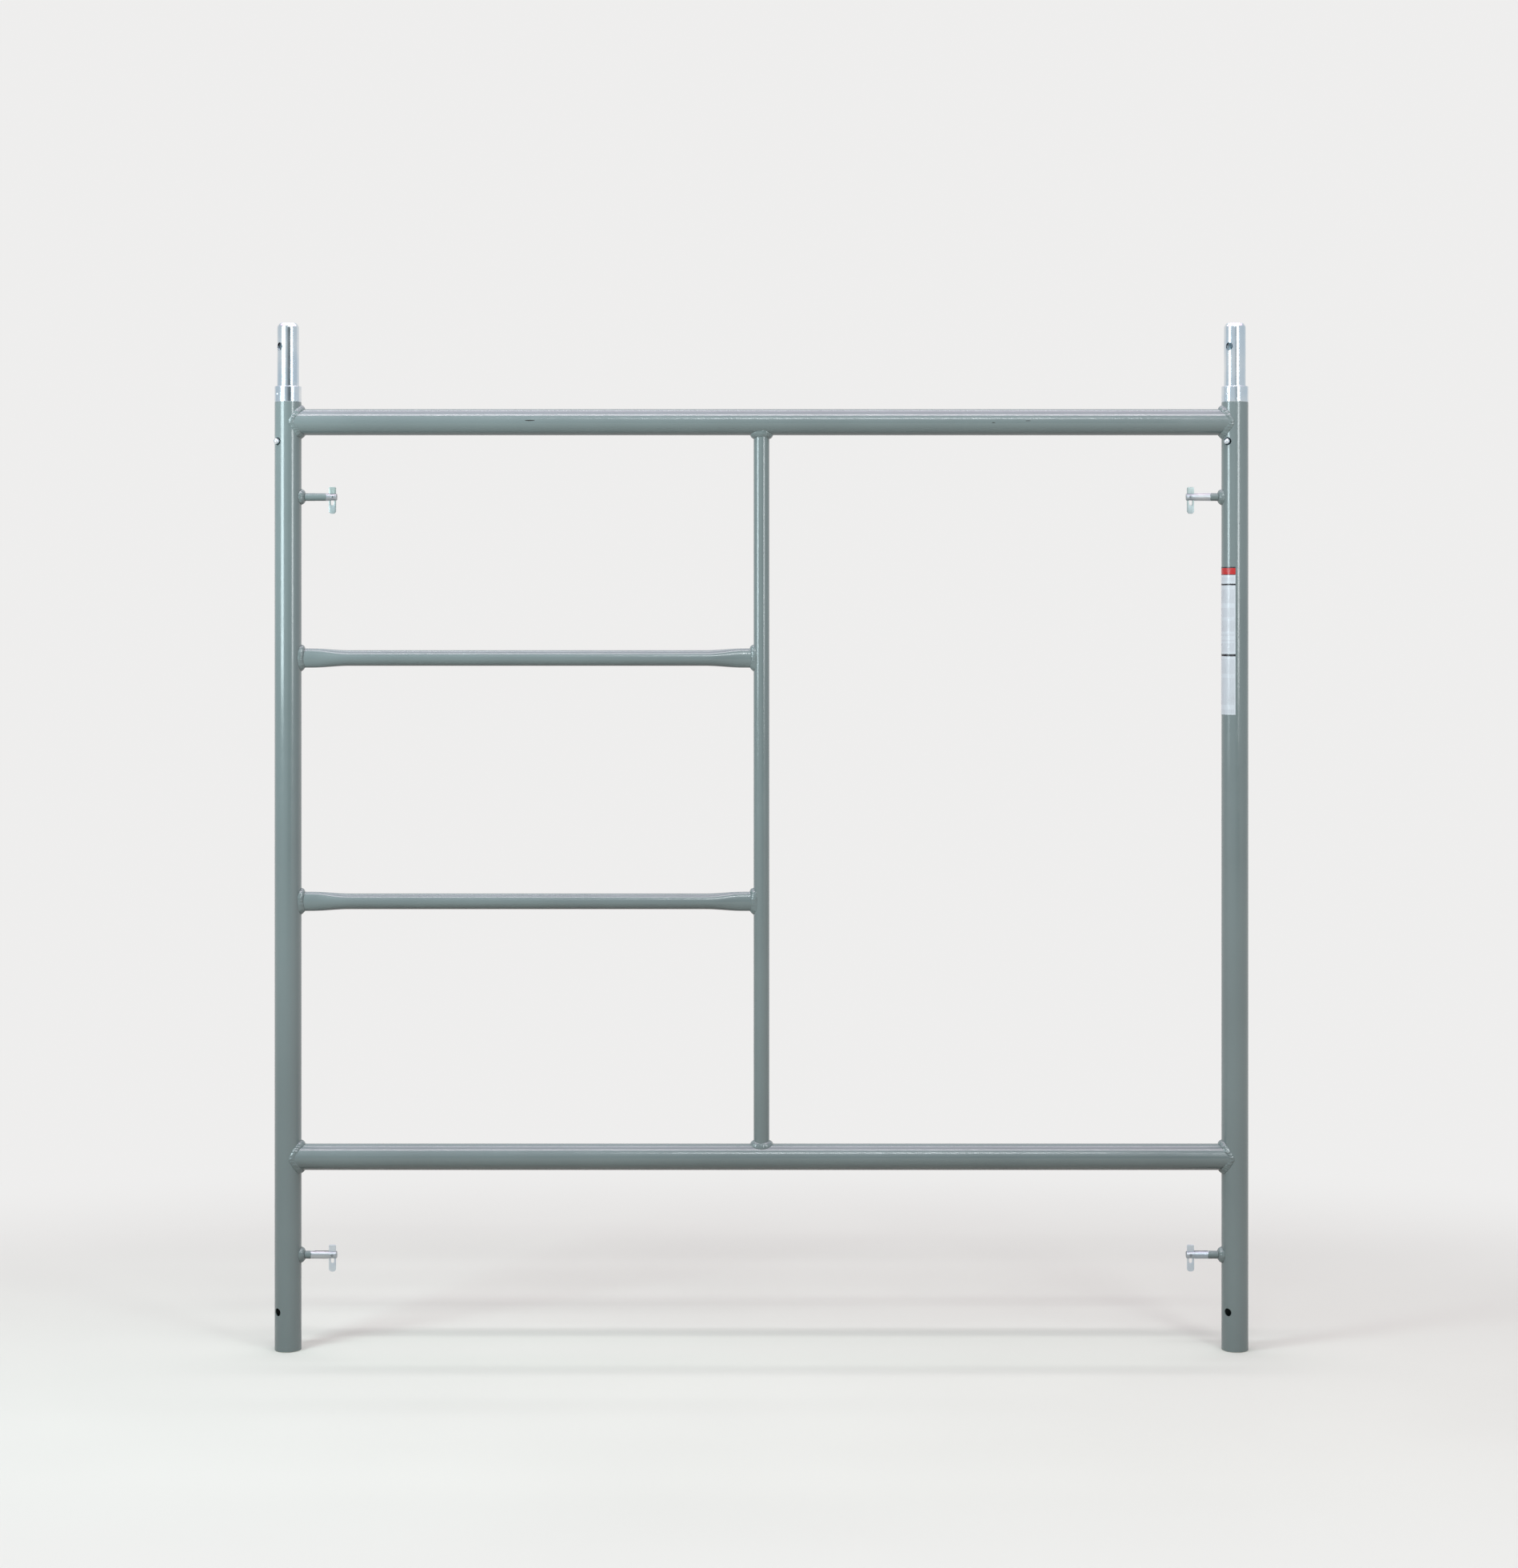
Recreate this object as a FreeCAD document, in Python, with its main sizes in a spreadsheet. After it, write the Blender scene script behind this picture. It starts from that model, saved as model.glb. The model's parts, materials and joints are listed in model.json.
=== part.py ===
"""Scaffold step frame: two drilled legs tied by coped bearers, a centre post and two ladder rungs.

Drop-toggle lock studs stand on the inner sides of the legs, and a collared coupling pin with a sprung
button sits in the top of each leg. Millimetres, +Z up, front towards -Y, origin on the ground midway
between the legs.
"""
import FreeCAD, Part
import math
import operator
import os
import Sketcher

# Driving dimensions, in millimetres and degrees
SIZES = {
    # legs: tube, reamed foot, and the cross holes near both ends
    "frame_height": 1524.0,
    "leg_spacing": 1524.0,
    "leg_diameter": 42.9,
    "leg_wall": 2.4,
    "ream_depth": 115.0,
    "ream_cut": 0.3,
    "hole_diameter": 12.7,
    "hole_offset": 63.5,
    "hole_turn": 42.0,
    # bearers, post and rungs
    "bearer_diameter": 42.2,
    "bearer_wall": 2.4,
    "top_bearer_drop": 32.0,
    "bottom_bearer_height": 310.0,
    "post_diameter": 25.4,
    "post_wall": 2.1,
    "rung_diameter": 25.4,
    "rung_wall": 2.1,
    "lower_rung_height": 721.0,
    "upper_rung_height": 1112.5,
    "rung_end_height": 31.0,
    "rung_end_depth": 17.0,
    "rung_flat_length": 16.0,
    "rung_flare_length": 62.0,
    # lock studs
    "lower_stud_height": 152.4,
    "upper_stud_drop": 152.4,
    "stud_diameter": 12.7,
    "stud_length": 57.0,
    "stud_tip_diameter": 11.6,
    "stud_tip_length": 13.5,
    "stud_edge": 0.8,
    "stud_root_cut": 0.5,
    # toggles and their rivets
    "toggle_length": 43.0,
    "toggle_width": 11.3,
    "toggle_thickness": 3.0,
    "toggle_slot_length": 16.0,
    "toggle_slot_width": 5.3,
    "toggle_top_corner": 2.2,
    "toggle_bottom_corner": 4.4,
    "toggle_side_gap": 0.3,
    "toggle_swing_gap": 1.0,
    "rivet_diameter": 4.76,
    "rivet_gap": 0.06,
    "rivet_inset": 7.0,
    "rivet_crown": 0.3,
    # coupling pins and collars
    "pin_diameter": 34.9,
    "pin_wall": 3.0,
    "pin_reach": 101.6,
    "pin_edge": 1.6,
    "pin_nose_length": 5.2,
    "pin_nose_inset": 4.0,
    "pin_turned_down": 0.4,
    "collar_height": 25.4,
    "collar_gap": 0.05,
    "collar_edge": 0.8,
    "dimple_radius": 1.8,
    "dimple_depth": 0.8,
    # snap buttons and their springs
    "button_diameter": 9.5,
    "button_proud": 6.5,
    "button_nose": 3.2,
    "button_flat": 4.4,
    "spring_thickness": 0.9,
    "spring_width": 9.0,
    "spring_arm": 18.0,
    "spring_drop": 20.0,
    "spring_gap": 0.1,
    # welds
    "weld_leg": 6.0,
    "stud_weld_leg": 6.5,
    "weld_crown": 1.8,
    # label
    "label_drop": 265.0,
    "label_height": 237.0,
    "label_width": 50.0,
    "label_thickness": 0.15,
    "label_gap": 0.1,
    "label_edge_turn": 7.0,
}

SIGNS = {"+": operator.add, "-": operator.sub, "*": operator.mul, "/": operator.truediv}
X_AXIS = (1, 0, 0)
Y_AXIS = (0, 1, 0)
Z_AXIS = (0, 0, 1)
LEFT, RIGHT = -1, 1
HALF_TURN = 180
QUARTER_TURN = 90
# steps of a rung's flare, outside and inside, and stations round a weld bead
OUTSIDE_STEPS = 3
INSIDE_STEPS = 2
BEAD_STATIONS = 16
# how far a bead's toes and root are sunk into the metal before the tubes are cut away from it
TOE_SINK = 0.3
ROOT_SINK = 1.5
# where two walls run into one another, a bead slides off the header and onto the branch by these shares
HEADER_SLIDE = 0.75
BRANCH_SLIDE = 0.35

doc = FreeCAD.newDocument("scaffold_step_frame")
sheet = doc.addObject("Spreadsheet::Sheet", "sizes")
for row, (alias, number) in enumerate(SIZES.items(), start=1):
    sheet.set(f"A{row}", alias)
    sheet.set(f"B{row}", str(number))
    sheet.setAlias(f"B{row}", alias)
doc.recompute()


class Size:
    """A measure that carries its number and the sheet formula that drives it."""

    def __init__(self, formula, number):
        self.formula = formula
        self.number = number

    def __add__(self, other):
        return joined(self, "+", other)

    def __sub__(self, other):
        return joined(self, "-", other)

    def __mul__(self, other):
        return joined(self, "*", other)

    def __rmul__(self, other):
        return joined(other, "*", self)

    def __truediv__(self, other):
        return joined(self, "/", other)

    def __neg__(self):
        return joined(-1, "*", self)


def as_size(value):
    return value if isinstance(value, Size) else Size(str(value), value)


def joined(left, sign, right):
    left, right = as_size(left), as_size(right)
    return Size(f"({left.formula} {sign} {right.formula})", SIGNS[sign](left.number, right.number))


def diagonal(one, other):
    return Size(f"sqrt({one.formula}^2 + {other.formula}^2)", math.hypot(one.number, other.number))


def side_of(long, short):
    """The other short side of a right triangle."""
    number = math.sqrt(long.number**2 - short.number**2)
    return Size(f"sqrt({long.formula}^2 - {short.formula}^2)", number)


def size(name):
    return Size(f"sizes.{name}", sheet.get(name))


# Lines and radii that several pieces share
leg_axis = size("leg_spacing") / 2
leg_radius = size("leg_diameter") / 2
leg_bore = leg_radius - size("leg_wall")
frame_height = size("frame_height")
hole_radius = size("hole_diameter") / 2
hole_offset = size("hole_offset")
hole_turn = -size("hole_turn")
bearer_radius = size("bearer_diameter") / 2
top_bearer_height = frame_height - size("top_bearer_drop")
bottom_bearer_height = size("bottom_bearer_height")
post_radius = size("post_diameter") / 2
rung_radius = size("rung_diameter") / 2
stud_radius = size("stud_diameter") / 2
stud_tip_radius = size("stud_tip_diameter") / 2
stud_end = leg_radius + size("stud_length")
rivet_radius = size("rivet_diameter") / 2
rivet_place = stud_end - size("rivet_inset")
slot_radius = size("toggle_slot_width") / 2
slot_travel = size("toggle_slot_length") - size("toggle_slot_width")
toggle_reach = (size("toggle_length") + slot_travel) / 2
pin_radius = size("pin_diameter") / 2
pin_bore = pin_radius - size("pin_wall")
pin_seat = pin_radius - size("pin_turned_down")
collar_height = size("collar_height")
spring_face = side_of(pin_bore, size("spring_width") / 2) - size("spring_gap")

RUNG_HEIGHTS = {"lower": size("lower_rung_height"), "upper": size("upper_rung_height")}
STUD_HEIGHTS = {
    "lower": size("lower_stud_height"),
    "upper": frame_height - size("upper_stud_drop"),
}
SIDES = {"left": LEFT, "right": RIGHT}
BEARER_HEIGHTS = {"bottom": bottom_bearer_height, "top": top_bearer_height}

pieces = []


def named(piece, label):
    """Give a finished sub-part the name its file takes."""
    piece.Label = label
    pieces.append(piece)
    return piece


def bind(feature, **measures):
    for prop, measure in measures.items():
        feature.setExpression(prop, as_size(measure).formula)


def put(piece, place, turn=0, axis=Z_AXIS):
    """Seat a piece: its place, and its turn about an axis, follow the sheet."""
    piece.Placement.Rotation = FreeCAD.Rotation(FreeCAD.Vector(*axis), as_size(turn).number)
    for letter, measure in zip("xyz", place):
        piece.setExpression(f"Placement.Base.{letter}", as_size(measure).formula)
    if isinstance(turn, Size):
        piece.setExpression("Placement.Rotation.Angle", turn.formula)


def facing(side):
    """The turn that points a piece on this side's leg towards the middle of the frame."""
    return 0 if side == LEFT else HALF_TURN


# Sketches and features inside a body
def new_body(label):
    return named(doc.addObject("PartDesign::Body", label), label)


def as_one_node(label, bodies):
    """Join like pieces, each still a solid of its own, under one name."""
    for body in bodies:
        pieces.remove(body)
    group = doc.addObject("Part::Compound", label)
    group.Links = bodies
    named(group, label)


def drawing_on(body, role, name):
    drawing = body.newObject("Sketcher::SketchObject", f"{body.Name}_{name}")
    plane = next(item for item in body.Origin.OriginFeatures if item.Role == role)
    drawing.AttachmentSupport = (plane, [""])
    drawing.MapMode = "FlatFace"
    return drawing


def hold(drawing, line, point, across, up):
    """Fix a point of a sketch at its two measures from the sketch's origin."""
    for kind, axis_line, measure in (("DistanceX", -2, across), ("DistanceY", -1, up)):
        measure = as_size(measure)
        if measure.number == 0:
            drawing.addConstraint(Sketcher.Constraint("PointOnObject", line, point, axis_line))
            continue
        ends = (-1, 1, line, point) if measure.number > 0 else (line, point, -1, 1)
        rule = drawing.addConstraint(Sketcher.Constraint(kind, *ends, abs(measure.number)))
        signed = measure if measure.number > 0 else -measure
        drawing.setExpression(f"Constraints[{rule}]", signed.formula)


def outline(drawing, corners):
    """A closed outline of straight lines through corners given as pairs of measures."""
    spots = [FreeCAD.Vector(as_size(across).number, as_size(up).number, 0) for across, up in corners]
    count = len(corners)
    for index in range(count):
        drawing.addGeometry(Part.LineSegment(spots[index], spots[(index + 1) % count]))
    for index in range(count):
        drawing.addConstraint(Sketcher.Constraint("Coincident", index, 2, (index + 1) % count, 1))
    for index, (across, up) in enumerate(corners):
        hold(drawing, index, 1, across, up)


def circles(drawing, rings):
    """Circles given as (radius, across, up)."""
    for index, (radius, across, up) in enumerate(rings):
        centre = FreeCAD.Vector(as_size(across).number, as_size(up).number, 0)
        drawing.addGeometry(Part.Circle(centre, FreeCAD.Vector(*Z_AXIS), radius.number))
        rule = drawing.addConstraint(Sketcher.Constraint("Radius", index, radius.number))
        drawing.setExpression(f"Constraints[{rule}]", radius.formula)
        hold(drawing, index, 3, across, up)


def slot(drawing, radius, top, bottom):
    """An upright slot: two arcs about points on the vertical axis, joined by tangent lines."""
    normal = FreeCAD.Vector(*Z_AXIS)
    heights = (as_size(top), as_size(bottom))
    for height, start in zip(heights, (0, math.pi)):
        ring = Part.Circle(FreeCAD.Vector(0, height.number, 0), normal, radius.number)
        drawing.addGeometry(Part.ArcOfCircle(ring, start, start + math.pi))
    for across in (-radius.number, radius.number):
        ends = [FreeCAD.Vector(across, height.number, 0) for height in heights]
        drawing.addGeometry(Part.LineSegment(*ends))
    for arc, end, line, tip in ((0, 2, 2, 1), (2, 2, 1, 1), (1, 2, 3, 2), (3, 1, 0, 1)):
        drawing.addConstraint(Sketcher.Constraint("Tangent", arc, end, line, tip))
    drawing.addConstraint(Sketcher.Constraint("Equal", 0, 1))
    rule = drawing.addConstraint(Sketcher.Constraint("Radius", 0, radius.number))
    drawing.setExpression(f"Constraints[{rule}]", radius.formula)
    for arc, height in enumerate(heights):
        hold(drawing, arc, 3, 0, height)


def revolve(body, drawing, axis):
    turned = body.newObject("PartDesign::Revolution", f"{body.Name}_turned")
    turned.Profile = (drawing, [""])
    turned.ReferenceAxis = (drawing, [axis])
    turned.Angle = 360


def pad(body, drawing, length):
    grown = body.newObject("PartDesign::Pad", f"{body.Name}_pad")
    grown.Profile = (drawing, [""])
    grown.SideType = "Symmetric"
    bind(grown, Length=length)


def cut_through(body, drawing):
    cut = body.newObject("PartDesign::Pocket", f"{drawing.Name}_cut")
    cut.Profile = (drawing, [""])
    cut.SideType = "Symmetric"
    cut.Type = "ThroughAll"


def drill(body, radius, spots):
    """Holes right through a body along Y."""
    drawing = drawing_on(body, "XZ_Plane", "holes")
    circles(drawing, [(radius, across, up) for across, up in spots])
    cut_through(body, drawing)


def cope(body, name, radius, place, axis, reach):
    """Cut the shape of a round tube, centred on a place, out of a body's end."""
    tube = body.newObject("PartDesign::SubtractiveCylinder", f"{body.Name}_{name}")
    bind(tube, Radius=radius, Height=2 * reach)
    start = [middle - reach if way else middle for middle, way in zip(map(as_size, place), axis)]
    turn = {X_AXIS: (QUARTER_TURN, Y_AXIS), Z_AXIS: (0, Z_AXIS)}[axis]
    put(tube, start, *turn)


def round_edges(body, name, radius, wanted):
    """Fillet those edges of the body's newest solid that the given test picks."""
    doc.recompute()
    solid = body.Tip
    picked = [f"Edge{number}" for number, edge in enumerate(solid.Shape.Edges, start=1) if wanted(edge)]
    rounded = body.newObject("PartDesign::Fillet", f"{body.Name}_{name}")
    rounded.Base = (solid, picked)
    bind(rounded, Radius=radius)


# Welded frame
def make_leg(label, side):
    body = new_body(label)
    ream = leg_bore + size("ream_cut")
    ream_depth = size("ream_depth")
    section = drawing_on(body, "XZ_Plane", "section")
    outline(section, [
        (ream, 0),
        (leg_radius, 0),
        (leg_radius, frame_height),
        (leg_bore, frame_height),
        (leg_bore, ream_depth),
        (ream, ream_depth),
    ])
    revolve(body, section, "V_Axis")
    drill(body, hole_radius, [(0, hole_offset), (0, frame_height - hole_offset)])
    put(body, (side * leg_axis, 0, 0), hole_turn)


def make_bearer(label, height):
    body = new_body(label)
    section = drawing_on(body, "YZ_Plane", "section")
    circles(section, [(bearer_radius, 0, 0), (bearer_radius - size("bearer_wall"), 0, 0)])
    pad(body, section, size("leg_spacing"))
    for name, side in SIDES.items():
        cope(body, f"{name}_cope", leg_radius, (side * leg_axis, 0, 0), Z_AXIS, 2 * bearer_radius)
    put(body, (0, 0, height))


def make_post(label):
    body = new_body(label)
    length = top_bearer_height - bottom_bearer_height
    section = drawing_on(body, "XY_Plane", "section")
    circles(section, [(post_radius, 0, 0), (post_radius - size("post_wall"), 0, 0)])
    pad(body, section, length)
    for name, height in (("top", length / 2), ("bottom", -length / 2)):
        cope(body, f"{name}_cope", bearer_radius, (0, 0, height), X_AXIS, 2 * post_radius)
    put(body, (0, 0, bottom_bearer_height + length / 2))


def rung_skin(name, height, inset, steps):
    """The rung's outside, or its inside where inset is the wall: round, easing to flat ovals at both ends."""
    flat, flare = size("rung_flat_length"), size("rung_flare_length")
    end_height, end_depth = size("rung_end_height") / 2, size("rung_end_depth") / 2
    stations = []
    for start, header, way in ((-leg_axis, leg_radius, 1), (0 * leg_axis, post_radius, -1)):
        shoulder = header + flat
        end = [(start + way * header / 2, 1.0), (start + way * shoulder, 1.0)]
        for step in range(1, steps + 1):
            share = step / steps
            flatness = (1 + math.cos(math.pi * share)) / 2
            end.append((start + way * (shoulder + share * flare), flatness))
        stations += end[::way]
    upright = FreeCAD.Rotation(FreeCAD.Vector(*Z_AXIS), FreeCAD.Vector(*Y_AXIS), FreeCAD.Vector(*X_AXIS), "ZXY")
    ovals = []
    for index, (along, flatness) in enumerate(stations):
        oval = doc.addObject("Part::Ellipse", f"{name}_{index}")
        bind(oval, MajorRadius=rung_radius + flatness * (end_height - rung_radius) - inset)
        bind(oval, MinorRadius=rung_radius + flatness * (end_depth - rung_radius) - inset)
        put(oval, (along, 0, height))
        oval.Placement.Rotation = upright
        ovals.append(oval)
    skin = doc.addObject("Part::Loft", name)
    skin.Sections = ovals
    skin.Solid = True
    skin.Ruled = True
    return skin


def cut_away(name, base, tool):
    left = doc.addObject("Part::Cut", name)
    left.Base = base
    left.Tool = tool
    return left


def bar(name, radius, place, length):
    """A solid upright bar of a tube's outside, for coping."""
    solid = doc.addObject("Part::Cylinder", name)
    bind(solid, Radius=radius, Height=length)
    put(solid, place)
    return solid


def make_rung(label, height):
    outside = rung_skin(f"{label}_outside", height, 0, OUTSIDE_STEPS)
    inside = rung_skin(f"{label}_inside", height, size("rung_wall"), INSIDE_STEPS)
    reach = size("rung_end_height")
    leg_bar = bar(f"{label}_leg_bar", leg_radius, (-leg_axis, 0, height - reach), 2 * reach)
    post_bar = bar(f"{label}_post_bar", post_radius, (0, 0, height - reach), 2 * reach)
    one_end = cut_away(f"{label}_leg_end", outside, leg_bar)
    both_ends = cut_away(f"{label}_both_ends", one_end, post_bar)
    named(cut_away(label, both_ends, inside), label)


# Lock studs, drawn with the leg's axis at the origin and the stud along X
def make_stud(label, side, height):
    body = new_body(label)
    root_radius = stud_radius - size("stud_root_cut")
    root_end = leg_radius + size("stud_weld_leg")
    shoulder = stud_end - size("stud_tip_length")
    edge = size("stud_edge")
    slit_floor = rivet_place - diagonal(toggle_reach, size("toggle_width") / 2) - size("toggle_swing_gap")
    section = drawing_on(body, "XZ_Plane", "section")
    outline(section, [
        (leg_radius / 2, 0),
        (leg_radius / 2, root_radius),
        (root_end, root_radius),
        (root_end, stud_radius),
        (slit_floor, stud_radius),
        (shoulder, stud_radius),
        (shoulder, stud_tip_radius),
        (stud_end - edge, stud_tip_radius),
        (stud_end, stud_tip_radius - edge),
        (stud_end, 0),
    ])
    revolve(body, section, "H_Axis")
    cope(body, "cope", leg_radius, (0, 0, 0), Z_AXIS, 2 * stud_radius)
    slit_half = size("toggle_thickness") / 2 + size("toggle_side_gap")
    slit = drawing_on(body, "XY_Plane", "slit")
    outline(slit, [
        (slit_floor, -slit_half),
        (stud_end + edge, -slit_half),
        (stud_end + edge, slit_half),
        (slit_floor, slit_half),
    ])
    cut_through(body, slit)
    drill(body, rivet_radius + size("rivet_gap"), [(rivet_place, 0)])
    # the plain and the slit stretch of the shank stay faces of their own
    for feature in body.Group:
        if hasattr(feature, "Refine"):
            feature.Refine = False
    put(body, (side * leg_axis, 0, height), facing(side))
    return body


def make_rivet(label, side, height):
    body = new_body(label)
    section = drawing_on(body, "XZ_Plane", "section")
    circles(section, [(rivet_radius, 0, 0)])
    pad(body, section, 2 * (stud_tip_radius + size("rivet_crown")))
    put(body, (side * (leg_axis - rivet_place), 0, height))


def make_toggle(label, side, height):
    """A slotted plate that hangs with the rivet in the top of its slot."""
    body = new_body(label)
    half_width = size("toggle_width") / 2
    middle = -slot_travel / 2
    top, bottom = middle + size("toggle_length") / 2, middle - size("toggle_length") / 2
    plate = drawing_on(body, "XZ_Plane", "plate")
    outline(plate, [(-half_width, bottom), (half_width, bottom), (half_width, top), (-half_width, top)])
    pad(body, plate, size("toggle_thickness"))
    for name, end in (("top_corner", top), ("bottom_corner", bottom)):
        def at_end(edge, level=end.number):
            box = edge.BoundBox
            return box.YLength > box.ZLength and math.isclose(box.ZMin, level, abs_tol=1e-6)
        round_edges(body, name, size(f"toggle_{name}"), at_end)
    opening = drawing_on(body, "XZ_Plane", "slot")
    slot(opening, slot_radius, 0, -slot_travel)
    cut_through(body, opening)
    put(body, (side * (leg_axis - rivet_place), 0, height))


# Coupling pins, drawn with the leg's top at the origin and the button towards -Y
def make_pin(label, side):
    """A tube with a swaged nose, turned down below the shoulder that stops the collar slid on from beneath."""
    body = new_body(label)
    low, high = -size("pin_reach"), collar_height + size("pin_reach")
    edge = size("pin_edge")
    nose, inset = size("pin_nose_length"), size("pin_nose_inset")
    section = drawing_on(body, "XZ_Plane", "section")
    outline(section, [
        (pin_bore, low),
        (pin_seat - edge, low),
        (pin_seat, low + edge),
        (pin_seat, collar_height),
        (pin_radius, collar_height),
        (pin_radius, high - nose),
        (pin_radius - inset, high),
        (pin_bore - inset, high),
        (pin_bore, high - nose),
    ])
    revolve(body, section, "V_Axis")
    drill(body, hole_radius, [(0, collar_height + hole_offset)])
    button_hole = body.newObject("PartDesign::SubtractiveCylinder", f"{label}_button_hole")
    bind(button_hole, Radius=hole_radius, Height=2 * pin_radius)
    put(button_hole, (0, 0, -hole_offset), QUARTER_TURN, X_AXIS)
    put(body, (side * leg_axis, 0, frame_height), hole_turn)


def make_collar(label, side):
    """A ring on the pin's turned-down part, staked by one punched dimple."""
    body = new_body(label)
    bore = pin_seat + size("collar_gap")
    edge = size("collar_edge")
    section = drawing_on(body, "XZ_Plane", "section")
    outline(section, [
        (bore, 0),
        (leg_radius - edge, 0),
        (leg_radius, edge),
        (leg_radius, collar_height - edge),
        (leg_radius - edge, collar_height),
        (bore, collar_height),
    ])
    revolve(body, section, "V_Axis")
    dimple = body.newObject("PartDesign::SubtractiveCone", f"{label}_dimple")
    bind(dimple, Radius1=0, Radius2=2 * size("dimple_radius"), Height=2 * size("dimple_depth"))
    put(dimple, (0, size("dimple_depth") - leg_radius, collar_height / 2), QUARTER_TURN, X_AXIS)
    put(body, (side * leg_axis, 0, frame_height), hole_turn)
    return body


def make_button(label, side):
    """A plunger whose tapered nose stands through the leg's hole."""
    body = new_body(label)
    radius = size("button_diameter") / 2
    tip = leg_radius + size("button_proud")
    section = drawing_on(body, "XY_Plane", "section")
    outline(section, [
        (0, -tip),
        (size("button_flat") / 2, -tip),
        (radius, size("button_nose") - tip),
        (radius, -spring_face),
        (0, -spring_face),
    ])
    revolve(body, section, "V_Axis")
    put(body, (side * leg_axis, 0, frame_height - hole_offset), hole_turn)


def make_spring(label, side):
    """A strip bent to a vee: two upright arms on the pin's bore, run down to one bend below the button."""
    thickness = size("spring_thickness").number
    half_width = size("spring_width").number / 2
    arm = size("spring_arm").number / 2
    out = spring_face.number - thickness / 2
    bend = -arm - size("spring_drop").number
    spots = [(-out, arm), (-out, -arm), (0, bend), (out, -arm), (out, arm)]
    path = Part.makePolygon([FreeCAD.Vector(-half_width, along, up) for along, up in spots])
    shifted = path.makeOffset2D(thickness / 2, join=2, fill=False, openResult=True)
    strip = shifted.makeOffset2D(-thickness, join=2, fill=True, openResult=True)
    spring = named(doc.addObject("Part::Feature", label), label)
    spring.Shape = strip.extrude(FreeCAD.Vector(2 * half_width, 0, 0))
    put(spring, (side * leg_axis, 0, frame_height - hole_offset), hole_turn)


# Weld beads, worked out with the header's axis along Z and the branch along X
def bead_section(header, half_depth, half_height, weld_leg, angle):
    """Root, header toe, crown and branch toe of a bead at one angle round the branch.

    The saddle point lies on both walls. The toes stand off it along the header's wall and along the
    branch, and the crown stands off their midpoint along the walls' shared normal.
    """
    across, up = half_depth * math.cos(angle), half_height * math.sin(angle)
    out = math.sqrt(header**2 - across**2)
    saddle = FreeCAD.Vector(out, across, up)
    header_normal = FreeCAD.Vector(out / header, across / header, 0)
    branch_normal = FreeCAD.Vector(0, math.cos(angle) / half_depth, math.sin(angle) / half_height).normalize()
    likeness = header_normal.dot(branch_normal)
    away = (branch_normal - header_normal * likeness).normalize()
    header_lap = weld_leg * (1 - HEADER_SLIDE * likeness**2)
    round_way = FreeCAD.Vector(-across / header, out / header, 0)
    bearing = math.atan2(across, out) + header_lap * away.dot(round_way) / header
    sunk = header - TOE_SINK
    header_toe = FreeCAD.Vector(sunk * math.cos(bearing), sunk * math.sin(bearing), up + header_lap * away.z)
    branch_lap = FreeCAD.Vector(weld_leg * (1 + BRANCH_SLIDE * likeness**2), 0, 0)
    branch_toe = saddle + branch_lap - branch_normal * TOE_SINK
    shared = (header_normal + branch_normal).normalize()
    crown = (header_toe + branch_toe) * 0.5 + shared * (TOE_SINK + size("weld_crown").number)
    return saddle - shared * ROOT_SINK, header_toe, crown, branch_toe


def bead(header, branch, half_depth, half_height, weld_leg, crowned=False):
    """A fillet weld round a branch, from the curves of its root, toes and any crown, less the two tubes."""
    header, half_depth, half_height = header.number, half_depth.number, half_height.number
    angles = [2 * math.pi * index / BEAD_STATIONS for index in range(BEAD_STATIONS)]
    sections = [bead_section(header, half_depth, half_height, weld_leg.number, angle) for angle in angles]
    curves = dict(zip(("root", "header_toe", "crown", "branch_toe"), zip(*sections)))
    if not crowned:
        del curves["crown"]
    loops = []
    for spots in curves.values():
        loop = Part.BSplineCurve()
        loop.interpolate(list(spots), PeriodicFlag=True)
        loops.append(loop.toShape())
    walls = [Part.makeRuledSurface(one, other) for one, other in zip(loops, loops[1:] + loops[:1])]
    ring = Part.makeSolid(Part.makeShell(walls))
    reach = half_height + 2 * weld_leg.number + header
    tube = Part.makeCylinder(header, 2 * reach, FreeCAD.Vector(0, 0, -reach))
    return ring.cut([tube, branch]).Solids[0]


def oval_bar(half_depth, half_height, length):
    """A solid oval bar along X."""
    long, short = max(half_depth, half_height), min(half_depth, half_height)
    oval = Part.Face(Part.Wire(Part.Ellipse(FreeCAD.Vector(), long, short).toShape()))
    oval.rotate(FreeCAD.Vector(), FreeCAD.Vector(1, 0, 1), HALF_TURN)
    return oval.extrude(FreeCAD.Vector(length, 0, 0))


def round_bar(radius, length):
    return Part.makeCylinder(radius, length, FreeCAD.Vector(), FreeCAD.Vector(*X_AXIS))


def make_beads(label, beads):
    """One node for a family of like beads, each a solid, given as (shape, place, turn, axis)."""
    seated = []
    for shape, place, turn, axis in beads:
        copy = shape.copy()
        spot = FreeCAD.Vector(*[as_size(measure).number for measure in place])
        copy.Placement = FreeCAD.Placement(spot, FreeCAD.Rotation(FreeCAD.Vector(*axis), turn))
        seated.append(copy)
    group = named(doc.addObject("Part::Feature", label), label)
    group.Shape = Part.makeCompound(seated)


def weld_bearers():
    length = 2 * leg_radius.number + 2 * size("weld_leg").number
    branch = round_bar(bearer_radius.number, length)
    shape = bead(leg_radius, branch, bearer_radius, bearer_radius, size("weld_leg"), crowned=True)
    make_beads("bearer_welds", [
        (shape, (side * leg_axis, 0, height), facing(side), Z_AXIS)
        for side in SIDES.values()
        for height in BEARER_HEIGHTS.values()
    ])


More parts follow.
